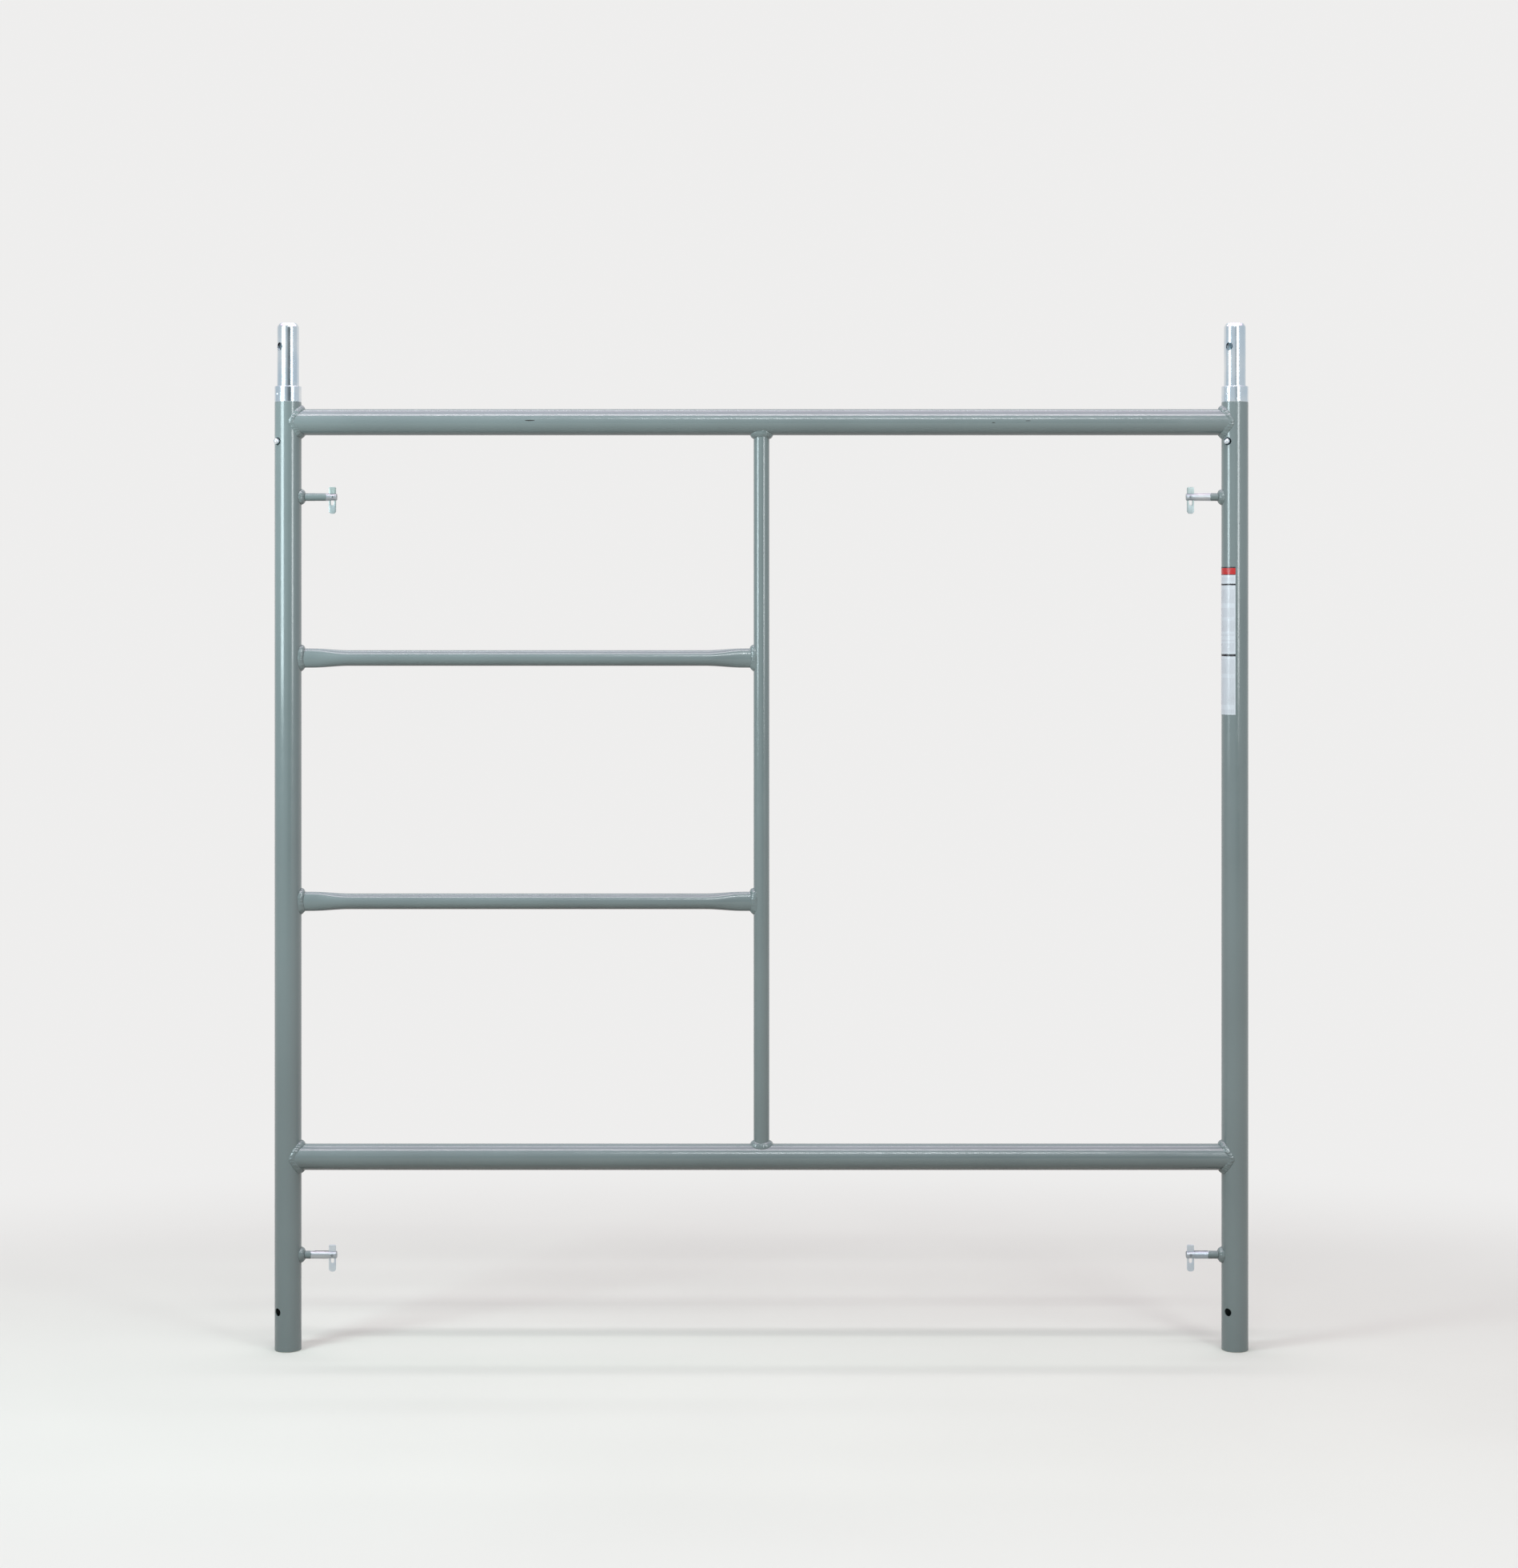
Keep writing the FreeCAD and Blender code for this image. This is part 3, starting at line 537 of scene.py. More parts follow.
# Enamel: colours, roughness, patterns and depths
ENAMEL_PALE, ENAMEL_DEEP = ink(119, 134, 134), ink(111, 125, 125)
BARE_STEEL, SCRATCH_DARK = ink(186, 186, 180), ink(52, 55, 53)
ENAMEL_ROUGH, BARE_ROUGH = (0.14, 0.22), 0.35
ENAMEL_IOR = 1.7
DRIFT, SHEEN_PATCHES, PEEL = (4.0, 2.0), (45.0, 3.0), (260.0, 2.0)
RAGGED_EDGE, DRY_GRAIN = (600.0, 3.0), (700.0, 2.0)
PEEL_DEPTH, GRAIN_DEPTH = 0.02 * MM, 0.1 * MM
FOOT_BARE, FOOT_SOFT = 1.6 * MM, 0.3 * MM
DRY_FADE = (2 * MM, 4 * MM)
DRY_RISE = 0.3 * BEARER_RADIUS
# a scratch ends where its oval's squared reach, plus this much noise, passes this range
SCRATCH_RAGGED, SCRATCH_END = 1.2, (1.5, 1.2)
# place along the top bearer, rise over its axis, half length and half height of each scratch, in mm
TOP_BEARER_SCRATCHES = ((-371, 1.5, 9.5, 1.1), (427, 1.0, 5.0, 0.6), (372, -2.0, 3.0, 0.8))


def enamel_nodes(tree, place):
    """Colour, roughness and height of sprayed gloss enamel: slow drift of shade and orange peel."""
    colour = blend_colour(tree, clouds(tree, place, DRIFT, WIDE), ENAMEL_DEEP, ENAMEL_PALE)
    rough = clouds(tree, place, SHEEN_PATCHES, WIDE, ENAMEL_ROUGH)
    return colour, rough, noise(tree, place, PEEL)


def scratch_mask(tree, axes, ragged, scratch, bearer_height):
    """1 inside a ragged oval on a bearer's front, and 0 outside."""
    x, rise, half_length, half_height = [size * MM for size in scratch]
    across = math_node(tree, "DIVIDE", math_node(tree, "SUBTRACT", axes[0], x), half_length)
    up = math_node(tree, "DIVIDE", math_node(tree, "SUBTRACT", axes[2], bearer_height + rise), half_height)
    apart = math_node(tree, "MULTIPLY_ADD", ragged, SCRATCH_RAGGED, squares(tree, across, up))
    front = math_node(tree, "LESS_THAN", axes[1], 0.0)
    return math_node(tree, "MULTIPLY", remap(tree, apart, SCRATCH_END), front)


def enamel(name, bearer_height=None, bare_foot=False, scratches=()):
    """Gloss enamel, with a dry grainy line along a bearer, its scratches, or bare steel at a dragged foot."""
    material, tree, shader = new_finish(name)
    place = object_place(tree)
    axes = axes_of(tree, place)
    colour, rough, peel = enamel_nodes(tree, place)
    ragged = noise(tree, place, RAGGED_EDGE)
    for scratch in scratches:
        mask = scratch_mask(tree, axes, ragged, scratch, bearer_height)
        colour = blend_colour(tree, mask, colour, SCRATCH_DARK)
    if bare_foot:
        level = math_node(tree, "MULTIPLY_ADD", ragged, -FOOT_BARE, axes[2])
        mask = remap(tree, level, (0.0, FOOT_SOFT), (1.0, 0.0))
        colour = blend_colour(tree, mask, colour, BARE_STEEL)
        rough = blend_number(tree, mask, rough, BARE_ROUGH)
        wire(tree, mask, shader, "Metallic")
    if bearer_height:
        away = math_node(tree, "ABSOLUTE", math_node(tree, "SUBTRACT", axes[2], bearer_height + DRY_RISE))
        dry = remap(tree, away, DRY_FADE, (1.0, 0.0))
        grain = math_node(tree, "MULTIPLY", noise(tree, place, DRY_GRAIN), dry)
        peel = math_node(tree, "MULTIPLY_ADD", grain, GRAIN_DEPTH / PEEL_DEPTH, peel)
    coated(tree, shader, colour, rough)
    bumped(tree, shader, peel, PEEL_DEPTH)
    shader.inputs["IOR"].default_value = ENAMEL_IOR
    return material


# Zinc: pairs of shades, roughness, tones and patterns
BRIGHT_SHADES = (ink(226, 230, 233), ink(206, 217, 226))
GREEN_SHADES = (ink(206, 222, 216), ink(203, 217, 219))
BORE_ZINC = ink(205, 218, 224)
BRIGHT, SATIN, DULL = 0.17, 0.36, 0.45
ROUGH_SPREAD = 0.03
# the lower toggles' tone is raised as painted light, since the lamps light them less than the upper ones
# the studs' tone is lowered partly for greyer plating and partly as painted shade for the darker surroundings
# mirrored on their lower halves
UPPER_TOGGLE_TONE, LOWER_TOGGLE_LIGHTENED_TONE, RIVET_TONE, STUD_GREY_AND_SHADED_TONE = 0.58, 0.85, 0.36, 0.58
ZINC_CLOUDS, ZINC_PATCHES, DRAWN_LINES = (22.0, 2.0), (60.0, 2.0), (900.0, 1.0)
DRAWN_STRETCH, DRAWN_DEPTH = (1.0, 1.0, 0.04), 0.0012 * MM
BORE_MARGIN = 0.2 * MM
# how far in mm the frame's paint runs out along each stud, its edge's slant and ragged reach, and its fade
PAINT_REACH = {("lower", "left"): 13.5, ("lower", "right"): 20.0,
               ("upper", "left"): 38.0, ("upper", "right"): 16.4}
PAINT_SLANT, PAINT_RAGGED, PAINT_FADE = 0.4, 3 * MM, (1.2 * MM, 2.2 * MM)
PAINT_EDGE = (300.0, 3.0)


def zinc_nodes(tree, place, shine, tone, shades):
    """Colour, roughness and height of zinc plate: faint clouds of two shades and fine drawn lines along Z."""
    toned = [[tone * part for part in shade[:3]] + [1] for shade in shades]
    colour = blend_colour(tree, clouds(tree, place, ZINC_CLOUDS, NARROW), *toned)
    rough = clouds(tree, place, ZINC_PATCHES, WIDE, (shine - ROUGH_SPREAD, shine + ROUGH_SPREAD))
    drawn = noise(tree, stretched(tree, place, DRAWN_STRETCH), DRAWN_LINES)
    return colour, rough, drawn


def zinc(name, shine, tone=1.0, shades=BRIGHT_SHADES, dull_bore=None):
    """Zinc plate, duller inside a bore of the given radius about either leg's axis."""
    material, tree, shader = new_finish(name)
    place = object_place(tree)
    colour, rough, drawn = zinc_nodes(tree, place, shine, tone, shades)
    if dull_bore:
        axes = axes_of(tree, place)
        across = math_node(tree, "SUBTRACT", math_node(tree, "ABSOLUTE", axes[0]), LEG_AXIS)
        away = math_node(tree, "SQRT", squares(tree, across, axes[1]))
        inside = math_node(tree, "LESS_THAN", away, dull_bore)
        colour = blend_colour(tree, inside, colour, BORE_ZINC)
        rough = blend_number(tree, inside, rough, SATIN)
    coated(tree, shader, colour, rough)
    bumped(tree, shader, drawn, DRAWN_DEPTH)
    shader.inputs["Metallic"].default_value = 1.0
    return material


def stud_finish(name):
    """Zinc studs with the frame's paint over their roots, out to a slanted edge on each."""
    material, tree, shader = new_finish(name)
    place = object_place(tree)
    axes = axes_of(tree, place)
    on_right = math_node(tree, "GREATER_THAN", axes[0], 0.0)
    on_top = math_node(tree, "GREATER_THAN", axes[2], FRAME_HEIGHT / 2)
    reaches = [[PAINT_REACH[level, side] * MM for side in SIDES] for level in LEVELS]
    rows = [blend_number(tree, on_right, *pair) for pair in reaches]
    reach = blend_number(tree, on_top, *rows)
    out = math_node(tree, "SUBTRACT", LEG_AXIS - LEG_RADIUS, math_node(tree, "ABSOLUTE", axes[0]))
    slant = math_node(tree, "MULTIPLY", axes[1], PAINT_SLANT)
    ragged = math_node(tree, "MULTIPLY_ADD", noise(tree, place, PAINT_EDGE), PAINT_RAGGED, slant)
    past = math_node(tree, "ADD", math_node(tree, "SUBTRACT", out, reach), ragged)
    bare = remap(tree, past, PAINT_FADE)
    paint, paint_rough, peel = enamel_nodes(tree, place)
    # the bare zinc is toned down partly for greyer plating and partly as painted shade for the darker surroundings
    # mirrored on the studs' lower halves
    metal, metal_rough, _ = zinc_nodes(tree, place, SATIN, STUD_GREY_AND_SHADED_TONE, BRIGHT_SHADES)
    colour = blend_colour(tree, bare, paint, metal)
    coated(tree, shader, colour, blend_number(tree, bare, paint_rough, metal_rough))
    wire(tree, bare, shader, "Metallic")
    bumped(tree, shader, peel, PEEL_DEPTH)
    return material


# Spring steel
SPRING_PALE, SPRING_DARK = ink(120, 122, 126), ink(92, 96, 104)
SPRING_CLOUDS, SPRING_ROUGH = (80.0, 3.0), (0.3, 0.42)


def spring_finish(name):
    """Grey steel strip, in clouds of two shades that are rougher where they are darker."""
    material, tree, shader = new_finish(name)
    cloud = clouds(tree, object_place(tree), SPRING_CLOUDS, WIDE)
    colour = blend_colour(tree, cloud, SPRING_PALE, SPRING_DARK)
    coated(tree, shader, colour, remap(tree, cloud, (0.0, 1.0), SPRING_ROUGH))
    shader.inputs["Metallic"].default_value = 1.0
    return material


# Label
LABEL_LOW, LABEL_HIGH = [corner.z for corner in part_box("label")]
LABEL_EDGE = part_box("label")[1].x
LABEL_MARGIN = 1.7 * MM
LABEL_FILM, LABEL_GREY, GRIME = ink(208, 217, 223), ink(200, 208, 214), ink(150, 156, 158)
LABEL_DARK, LABEL_RED = ink(40, 40, 46), ink(190, 42, 40)
CLEAR, SOLID = (0, 0, 0, 1), (1, 1, 1, 1)
# depths in mm below the label's top edge: solid bars across the film, and plain grey fields on it
LABEL_BARS = ((0, 1.2, LABEL_DARK), (1.2, 11.4, LABEL_RED), (11.4, 12.6, LABEL_DARK),
              (26.4, 29.6, LABEL_DARK), (139.4, 142.8, LABEL_DARK))
LABEL_FIELDS = ((16, 23), (36, 58), (65, 80), (86, 103), (107, 111), (116, 119), (122, 136),
                (148, 170.5), (177, 221), (228, 235))
GRIME_PATCHES, GRIME_RANGE, GRIME_SHARE = (70.0, 4.0), (0.5, 0.8), (0.0, 0.25)
LABEL_ROUGH = (0.22, 0.4)


def label_bands(tree, share, background, bands):
    """A ramp of plain bands of colour down the label, on a background."""
    ramp = add_node(tree, "ShaderNodeValToRGB", {0: share})
    ramp.color_ramp.interpolation = "CONSTANT"
    stops = ramp.color_ramp.elements
    stops.remove(stops[1])
    stops[0].position, stops[0].color = 0.0, background
    height = (LABEL_HIGH - LABEL_LOW) / MM
    for top, bottom, colour in bands:
        first = stops.new(top / height) if top else stops[0]
        first.color = colour
        stops.new(bottom / height).color = background
    return ramp.outputs[0]


def label_finish(name):
    """Blank sticker: a red field edged dark, dark bars, and plain grey fields that stop short of its edge."""
    material, tree, shader = new_finish(name)
    place = object_place(tree)
    axes = axes_of(tree, place)
    share = remap(tree, axes[2], (LABEL_HIGH, LABEL_LOW))
    inside = math_node(tree, "LESS_THAN", axes[0], LABEL_EDGE - LABEL_MARGIN)
    grey = [(top, bottom, LABEL_GREY) for top, bottom in LABEL_FIELDS]
    fields = blend_colour(tree, inside, LABEL_FILM, label_bands(tree, share, LABEL_FILM, grey))
    bars = label_bands(tree, share, CLEAR, LABEL_BARS)
    mask = label_bands(tree, share, CLEAR, [(top, bottom, SOLID) for top, bottom, _ in LABEL_BARS])
    colour = blend_colour(tree, mask, fields, bars)
    grime = clouds(tree, place, GRIME_PATCHES, GRIME_RANGE, GRIME_SHARE)
    rough = remap(tree, grime, GRIME_SHARE, LABEL_ROUGH)
    coated(tree, shader, blend_colour(tree, grime, colour, GRIME), rough)
    return material


# Finishes
paint = enamel("grey_green_enamel")
leg_paint = enamel("leg_enamel", bare_foot=True)
bearer_paint = {
    "bottom": enamel("dry_lined_enamel", BEARER_HEIGHTS["bottom"]),
    "top": enamel("scratched_enamel", BEARER_HEIGHTS["top"], scratches=TOP_BEARER_SCRATCHES),
}
plating = zinc("bright_zinc", BRIGHT)
pin_plating = zinc("bright_zinc_tube", BRIGHT, dull_bore=PIN_BORE + BORE_MARGIN)
toggle_plating = {
    "upper": zinc("satin_zinc", DULL, UPPER_TOGGLE_TONE, GREEN_SHADES),
    # lower toggles: paler zinc as painted light where the lamps give less light, and less green than the upper
    # ones
    "lower": zinc("satin_zinc_painted_lighter", DULL, LOWER_TOGGLE_LIGHTENED_TONE),
}
rivet_plating = zinc("rivet_zinc", SATIN, RIVET_TONE)
stud_plating = stud_finish("part_painted_zinc")
spring_steel = spring_finish("spring_steel_strip")
sticker = label_finish("blank_label")

# Legs, coupling pins and collars
TUBE_EDGE, PIN_EDGE, COLLAR_EDGE = 0.5 * MM, 1.6 * MM, 0.9 * MM
NOSE_START = COLLAR_HIGH + mount_size("left_coupling_pin", "length_mm")
NOSE_INSET, NOSE_BEND, NOSE_LIP = 4.0 * MM, 2.0 * MM, 0.8 * MM
COLLAR_GAP = 0.05 * MM
DIMPLE_RADIUS, DIMPLE_DEPTH, DIMPLE_POWER = 2.0 * MM, 0.9 * MM, 1.5
# the collar's cells crowd round its dimple: a share of the way round, and the even share up and down
COLLAR_CELLS, COLLAR_ROWS = 3 * TURN_CELLS, 61
COLLAR_CROWDING, COLLAR_EVEN = 0.9, 0.25
FAR_AWAY = 1.0


def make_leg(name, side):
    """A tube drilled through near both ends and reamed at its foot.

    Its closed profile runs up the outside, over the top, down the bore and the ream and under the foot.
    """
    holes = (HOLE_LOW, BUTTON_HEIGHT)
    outer = wall_rows(LEG_RADIUS, TUBE_EDGE, FRAME_HEIGHT - TUBE_EDGE, holes)
    bore = wall_rows(LEG_BORE, REAM_DEPTH, FRAME_HEIGHT - TUBE_EDGE, holes[1:])
    ream = wall_rows(REAM_RADIUS, TUBE_EDGE, REAM_DEPTH, holes[:1])
    top = [(LEG_RADIUS - TUBE_EDGE, FRAME_HEIGHT), (LEG_BORE + TUBE_EDGE, FRAME_HEIGHT)]
    foot = [(REAM_RADIUS + TUBE_EDGE, 0.0), (LEG_RADIUS - TUBE_EDGE, 0.0)]
    profile = np.concatenate([outer, top, bore[::-1], ream[::-1], foot])
    cross_holes = through_hole(HOLE_LOW, (LEG_RADIUS, REAM_RADIUS))
    cross_holes += through_hole(BUTTON_HEIGHT, (LEG_RADIUS, LEG_BORE))
    skins = on_leg(drilled(profile, cross_holes), side)
    make_piece(f"{name}_leg_tube", skins, leg_paint, "frame", [f"{name}_leg"])


def make_pin(name, side):
    """A plated tube with a swaged nose, turned down below its collar's top, with cross and button holes.

    Its closed profile runs up the outside, over the nose's rounded lip, down the bore and under the foot.
    """
    outer_low = wall_rows(PIN_SEAT, PIN_LOW + PIN_EDGE, COLLAR_HIGH, (BUTTON_HEIGHT,))
    outer_high = wall_rows(PIN_RADIUS, COLLAR_HIGH, NOSE_START - NOSE_BEND, (PIN_HOLE_HEIGHT,))
    bore = wall_rows(PIN_BORE, PIN_LOW + TUBE_EDGE, NOSE_START, (BUTTON_HEIGHT, PIN_HOLE_HEIGHT))
    rim = np.array([PIN_RADIUS - NOSE_INSET, PIN_HIGH])
    bend = np.array([PIN_RADIUS, NOSE_START])
    down = unit(bend - rim)
    nose = curve_through(bend - (0, NOSE_BEND), bend, bend - NOSE_BEND * down)[1:]
    lip = curve_through(rim + NOSE_LIP * down, rim, rim - (NOSE_LIP, 0))
    mouth = [(PIN_BORE - NOSE_INSET + TUBE_EDGE, PIN_HIGH), (PIN_BORE - NOSE_INSET, PIN_HIGH - TUBE_EDGE)]
    foot = [(PIN_BORE + TUBE_EDGE, PIN_LOW), (PIN_SEAT - PIN_EDGE, PIN_LOW)]
    profile = np.concatenate([outer_low, outer_high, nose, lip, mouth, bore[::-1], foot])
    holes = through_hole(PIN_HOLE_HEIGHT, (PIN_RADIUS, PIN_BORE))
    holes += through_hole(BUTTON_HEIGHT, (PIN_SEAT, PIN_BORE))[:1]
    skins = on_leg(drilled(profile, holes), side)
    make_piece(f"{name}_pin_tube", skins, pin_plating, "frame", [f"{name}_coupling_pin"])


def make_collars():
    """Two rings, each pushed in on its outside by a round dimple.

    The dimple's depth is (1 - (d / r)^2)^1.5 at a distance d from its middle, and the ring's rows and
    turns crowd towards it.
    """
    share = np.arange(COLLAR_CELLS) / COLLAR_CELLS
    turns = HOLE_TURN + FULL_TURN * share - COLLAR_CROWDING * np.sin(FULL_TURN * share)
    bore = PIN_SEAT + COLLAR_GAP
    middle, half = (COLLAR_LOW + COLLAR_HIGH) / 2, (COLLAR_HIGH - COLLAR_LOW) / 2 - COLLAR_EDGE
    rows = np.linspace(-1, 1, COLLAR_ROWS)
    heights = middle + half * (COLLAR_EVEN * rows + (1 - COLLAR_EVEN) * rows**3)
    wall = np.stack([np.full_like(heights, LEG_RADIUS), heights], axis=-1)
    top = quarter(LEG_RADIUS - COLLAR_EDGE, COLLAR_HIGH - COLLAR_EDGE, COLLAR_EDGE, 0)[1:]
    low = quarter(LEG_RADIUS - COLLAR_EDGE, COLLAR_LOW + COLLAR_EDGE, COLLAR_EDGE, -QUARTER_TURN)[:-1]
    profile = np.concatenate([wall, top, [(bore, COLLAR_HIGH), (bore, COLLAR_LOW)], low])
    round_way = LEG_RADIUS * np.sin(turns - HOLE_TURN) + FAR_AWAY * (np.cos(turns - HOLE_TURN) < 0)
    apart = np.hypot(round_way[None, :], profile[:, 1:] - middle) / DIMPLE_RADIUS
    push = DIMPLE_DEPTH * np.clip(1 - apart**2, 0, None) ** DIMPLE_POWER
    push[len(wall):] = 0
    inward = -np.stack([np.cos(turns), np.sin(turns), 0 * turns], axis=-1)
    ring = surface(turned(profile, turns) + push[:, :, None] * inward[None], loop_rows=True)
    skins = [skin for side in SIDES.values() for skin in on_leg([ring], side)]
    make_piece("collar_rings", skins, plating, "frame", ["pin_collars"])


# Snap buttons and their springs
BUTTON_NOSE, BUTTON_STEPS, BUTTON_CELLS = 4.2 * MM, 12, 64
SPRING_THICKNESS, SPRING_HALF_WIDTH = 0.9 * MM, 4.5 * MM
SPRING_HALF_ARM, SPRING_BEND = 9 * MM, 3 * MM
SPRING_BEND_STEPS, SPRING_STEPS = 12, 90


def button_line(name, side):
    """The point on the leg's axis at a button's height, and the way that the button stands out."""
    out = -np.array(joints[f"{name}_button_press"]["axis"])
    return np.array([side * LEG_AXIS, 0, BUTTON_HEIGHT]), out


def reach_along(node, middle, way):
    """Nearest and farthest reach of a node from a point along a direction."""
    mesh = frame["nodes"][node].data
    spots = np.empty(3 * len(mesh.vertices))
    mesh.vertices.foreach_get("co", spots)
    along = (spots.reshape(-1, 3) - middle) @ way
    return along.min(), along.max()


def make_button(name, side):
    """A plunger with a domed nose, a quarter ellipse, standing through the leg's hole."""
    centre, out = button_line(name, side)
    base, tip = reach_along(f"{name}_snap_button", centre, out)
    nose = dome(BUTTON_RADIUS, tip, BUTTON_NOSE, BUTTON_STEPS)
    profile = np.concatenate([[(0, base), (BUTTON_RADIUS, base)], nose])
    skin = surface(turned_about(profile, centre, out, BUTTON_CELLS))
    make_piece(f"{name}_button_dome", [skin], plating, f"{name}_button", [f"{name}_snap_button"])


def make_spring(name, side):
    """A strip bent to a vee, with an upright arm on each side of the pin's bore and one bend below.

    Its middle line runs straight between rounded corners, and the section is a rectangle carried along it:
    half the thickness to each side along the line's normal, and half the width across.
    """
    centre, out = button_line(name, side)
    arm = reach_along(f"{name}_button_spring", centre, out)[1] - SPRING_THICKNESS / 2
    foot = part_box(f"{name}_button_spring")[0].z - BUTTON_HEIGHT + SPRING_THICKNESS
    stops = np.array([(-arm, SPRING_HALF_ARM), (-arm, -SPRING_HALF_ARM), (0, foot),
                      (arm, -SPRING_HALF_ARM), (arm, SPRING_HALF_ARM)])
    bends = []
    for before, corner, after in zip(stops, stops[1:], stops[2:]):
        first = corner + SPRING_BEND * unit(before - corner)
        last = corner + SPRING_BEND * unit(after - corner)
        bends.append(curve_through(first, corner, last, SPRING_BEND_STEPS))
    drawn = np.concatenate([stops[:1], *bends, stops[-1:]])
    length = np.concatenate([[0], np.cumsum(np.linalg.norm(np.diff(drawn, axis=0), axis=1))])
    steps = np.linspace(0, length[-1], SPRING_STEPS)
    line = np.stack([np.interp(steps, length, drawn[:, 0]), np.interp(steps, length, drawn[:, 1])], axis=-1)
    run = unit(np.gradient(line, axis=0))
    normal = np.stack([-run[:, 1], run[:, 0]], axis=-1) * SPRING_THICKNESS / 2
    edges = np.stack([line + normal, line + normal, line - normal, line - normal], axis=1)
    across = SPRING_HALF_WIDTH * np.array([-1, 1, 1, -1])
    closed = np.concatenate([line[:1, None] + 0 * edges[:1], edges, line[-1:, None] + 0 * edges[-1:]])
    width = np.concatenate([[0 * across], np.tile(across, (len(line), 1)), [0 * across]])
    points = centre + closed[:, :, :1] * out + closed[:, :, 1:] * np.array(UP, float)
    points = points + width[:, :, None] * np.cross(out, UP)
    follows = (f"{name}_button", tuple(centre - arm * out), tuple(centre + arm * out))
    make_piece(f"{name}_spring_strip", [surface(points)], spring_steel, "frame",
               [f"{name}_button_spring"], follows=follows)


# Rivets and toggles
RIVET_CROWN, RIVET_STEPS, RIVET_CELLS = 0.5 * MM, 6, 40
TOGGLE_SLOT = (2.65 * MM, 8.0 * MM)
TOGGLE_TOP_CORNER, TOGGLE_BOTTOM_CORNER, TOGGLE_EDGE = 2.2 * MM, 4.4 * MM, 0.45 * MM
TOGGLE_CELLS, TOGGLE_CROWDING = 240, 0.35


def make_rivet(name):
    """A cross pin with slightly crowned ends, flush with the stud's sides."""
    node = f"{name}_rivet"
    centre = np.array([span(node, letter)[0] for letter in "xyz"])
    radius, half = span(node, "x")[1], span(node, "y")[1]
    end = dome(radius, half, RIVET_CROWN, RIVET_STEPS)
    profile = np.concatenate([end[::-1] * (1, -1), end])
    skin = surface(turned_about(profile, centre, (0, 1, 0), RIVET_CELLS))
    make_piece(f"{name}_rivet_pin", [skin], rivet_plating, f"{name}_rivet", [node])


def make_toggle(level, side_name):
    """A stamped plate with a slot, both edges rounded over.

    Each ray from its middle runs from the slot's edge to the outer edge. Along a ray the front goes from
    the slot to the rim, a quarter round turns over the rim to the back, and the back returns to the slot.
    The rays crowd towards the plate's ends.
    """
    name = f"{level}_{side_name}"
    node = f"{name}_toggle"
    centre = np.array([span(node, letter)[0] for letter in "xyz"])
    half_width, half_thick, half_length = [span(node, letter)[1] for letter in "xyz"]
    way = FULL_TURN * (np.arange(TOGGLE_CELLS) + 0.5) / TOGGLE_CELLS
    way = way - TOGGLE_CROWDING * np.sin(2 * way + math.pi)
    corner = np.where(np.sin(way) > 0, TOGGLE_TOP_CORNER, TOGGLE_BOTTOM_CORNER)
    rim = rounded_box_reach(way, half_width, half_length, corner)
    hole = rounded_box_reach(way, *TOGGLE_SLOT, TOGGLE_SLOT[0])
    bend = np.linspace(0, QUARTER_TURN, EDGE_STEPS)
    back_off, drop = TOGGLE_EDGE * (1 - np.sin(bend)), TOGGLE_EDGE * (1 - np.cos(bend))
    slot_rows = np.stack([0 * bend, back_off, half_thick - drop], axis=-1)
    rim_rows = np.stack([0 * bend + 1, -back_off, half_thick - drop], axis=-1)
    half_rows = np.concatenate([slot_rows[::-1], rim_rows])
    rows = np.concatenate([half_rows * (1, 1, -1), half_rows[::-1]])
    share, inset, deep = rows[:, :1], rows[:, 1:2], rows[:, 2:]
    reach = hole * (1 - share) + rim * share + inset
    points = np.stack([reach * np.cos(way), deep + 0 * way, reach * np.sin(way)], axis=-1)
    skin = moved(surface(points, loop_rows=True), centre)
    make_piece(f"{name}_toggle_plate", [skin], toggle_plating[level], f"{name}_toggle", [node])


# Label film
FILM_THICKNESS = 0.15 * MM
FILM_COLUMNS, FILM_ROWS = 49, 25


def make_label():
    """A thin film wrapped on the right leg: a closed sheet between two radii, over its share of a turn."""
    low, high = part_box("label")
    outer = LEG_AXIS - low.x
    first = math.pi - math.asin(high.y / outer)
    last = 3 * QUARTER_TURN + math.asin((high.x - LEG_AXIS) / outer)
    turns = np.linspace(first, last, FILM_COLUMNS)
    heights = np.linspace(low.z, high.z, FILM_ROWS)
    radii = np.repeat([outer, outer - FILM_THICKNESS], FILM_COLUMNS)
    loop = np.concatenate([turns, turns[::-1]])
    ring = np.stack([radii * np.cos(loop), radii * np.sin(loop), 0 * loop], axis=-1)
    walls = ring[None] + heights[:, None, None] * np.array(UP)
    caps = [np.stack([walls[row, :FILM_COLUMNS], walls[row, :FILM_COLUMNS - 1:-1]]) for row in (0, -1)]
    skins = [surface(walls), *[surface(cap, loop_columns=False) for cap in caps]]
    make_piece("label_film", on_leg(skins, SIDES["right"]), sticker, "frame", ["label"])


# Bearers, post and rungs
TUBE_ROWS, FLARE_ROWS = 13, 24
COPE_ROOM = 3 * MM


def make_bearer(level):
    """A level tube from leg to leg, coped to both."""
    inner = LEG_AXIS - LEG_RADIUS - COPE_ROOM
    along = np.concatenate([[-LEG_AXIS], np.linspace(-inner, inner, TUBE_ROWS), [LEG_AXIS]])
    half = np.full(len(along), BEARER_RADIUS)
    points = coped_tube(along, half, half, BEARER_WALL, (-LEG_AXIS, LEG_RADIUS), (LEG_AXIS, LEG_RADIUS))
    skin = surface(points + np.array([0, 0, BEARER_HEIGHTS[level]]), loop_rows=True)
    make_piece(f"{level}_bearer_tube", [skin], bearer_paint[level], "frame", [f"{level}_bearer"])


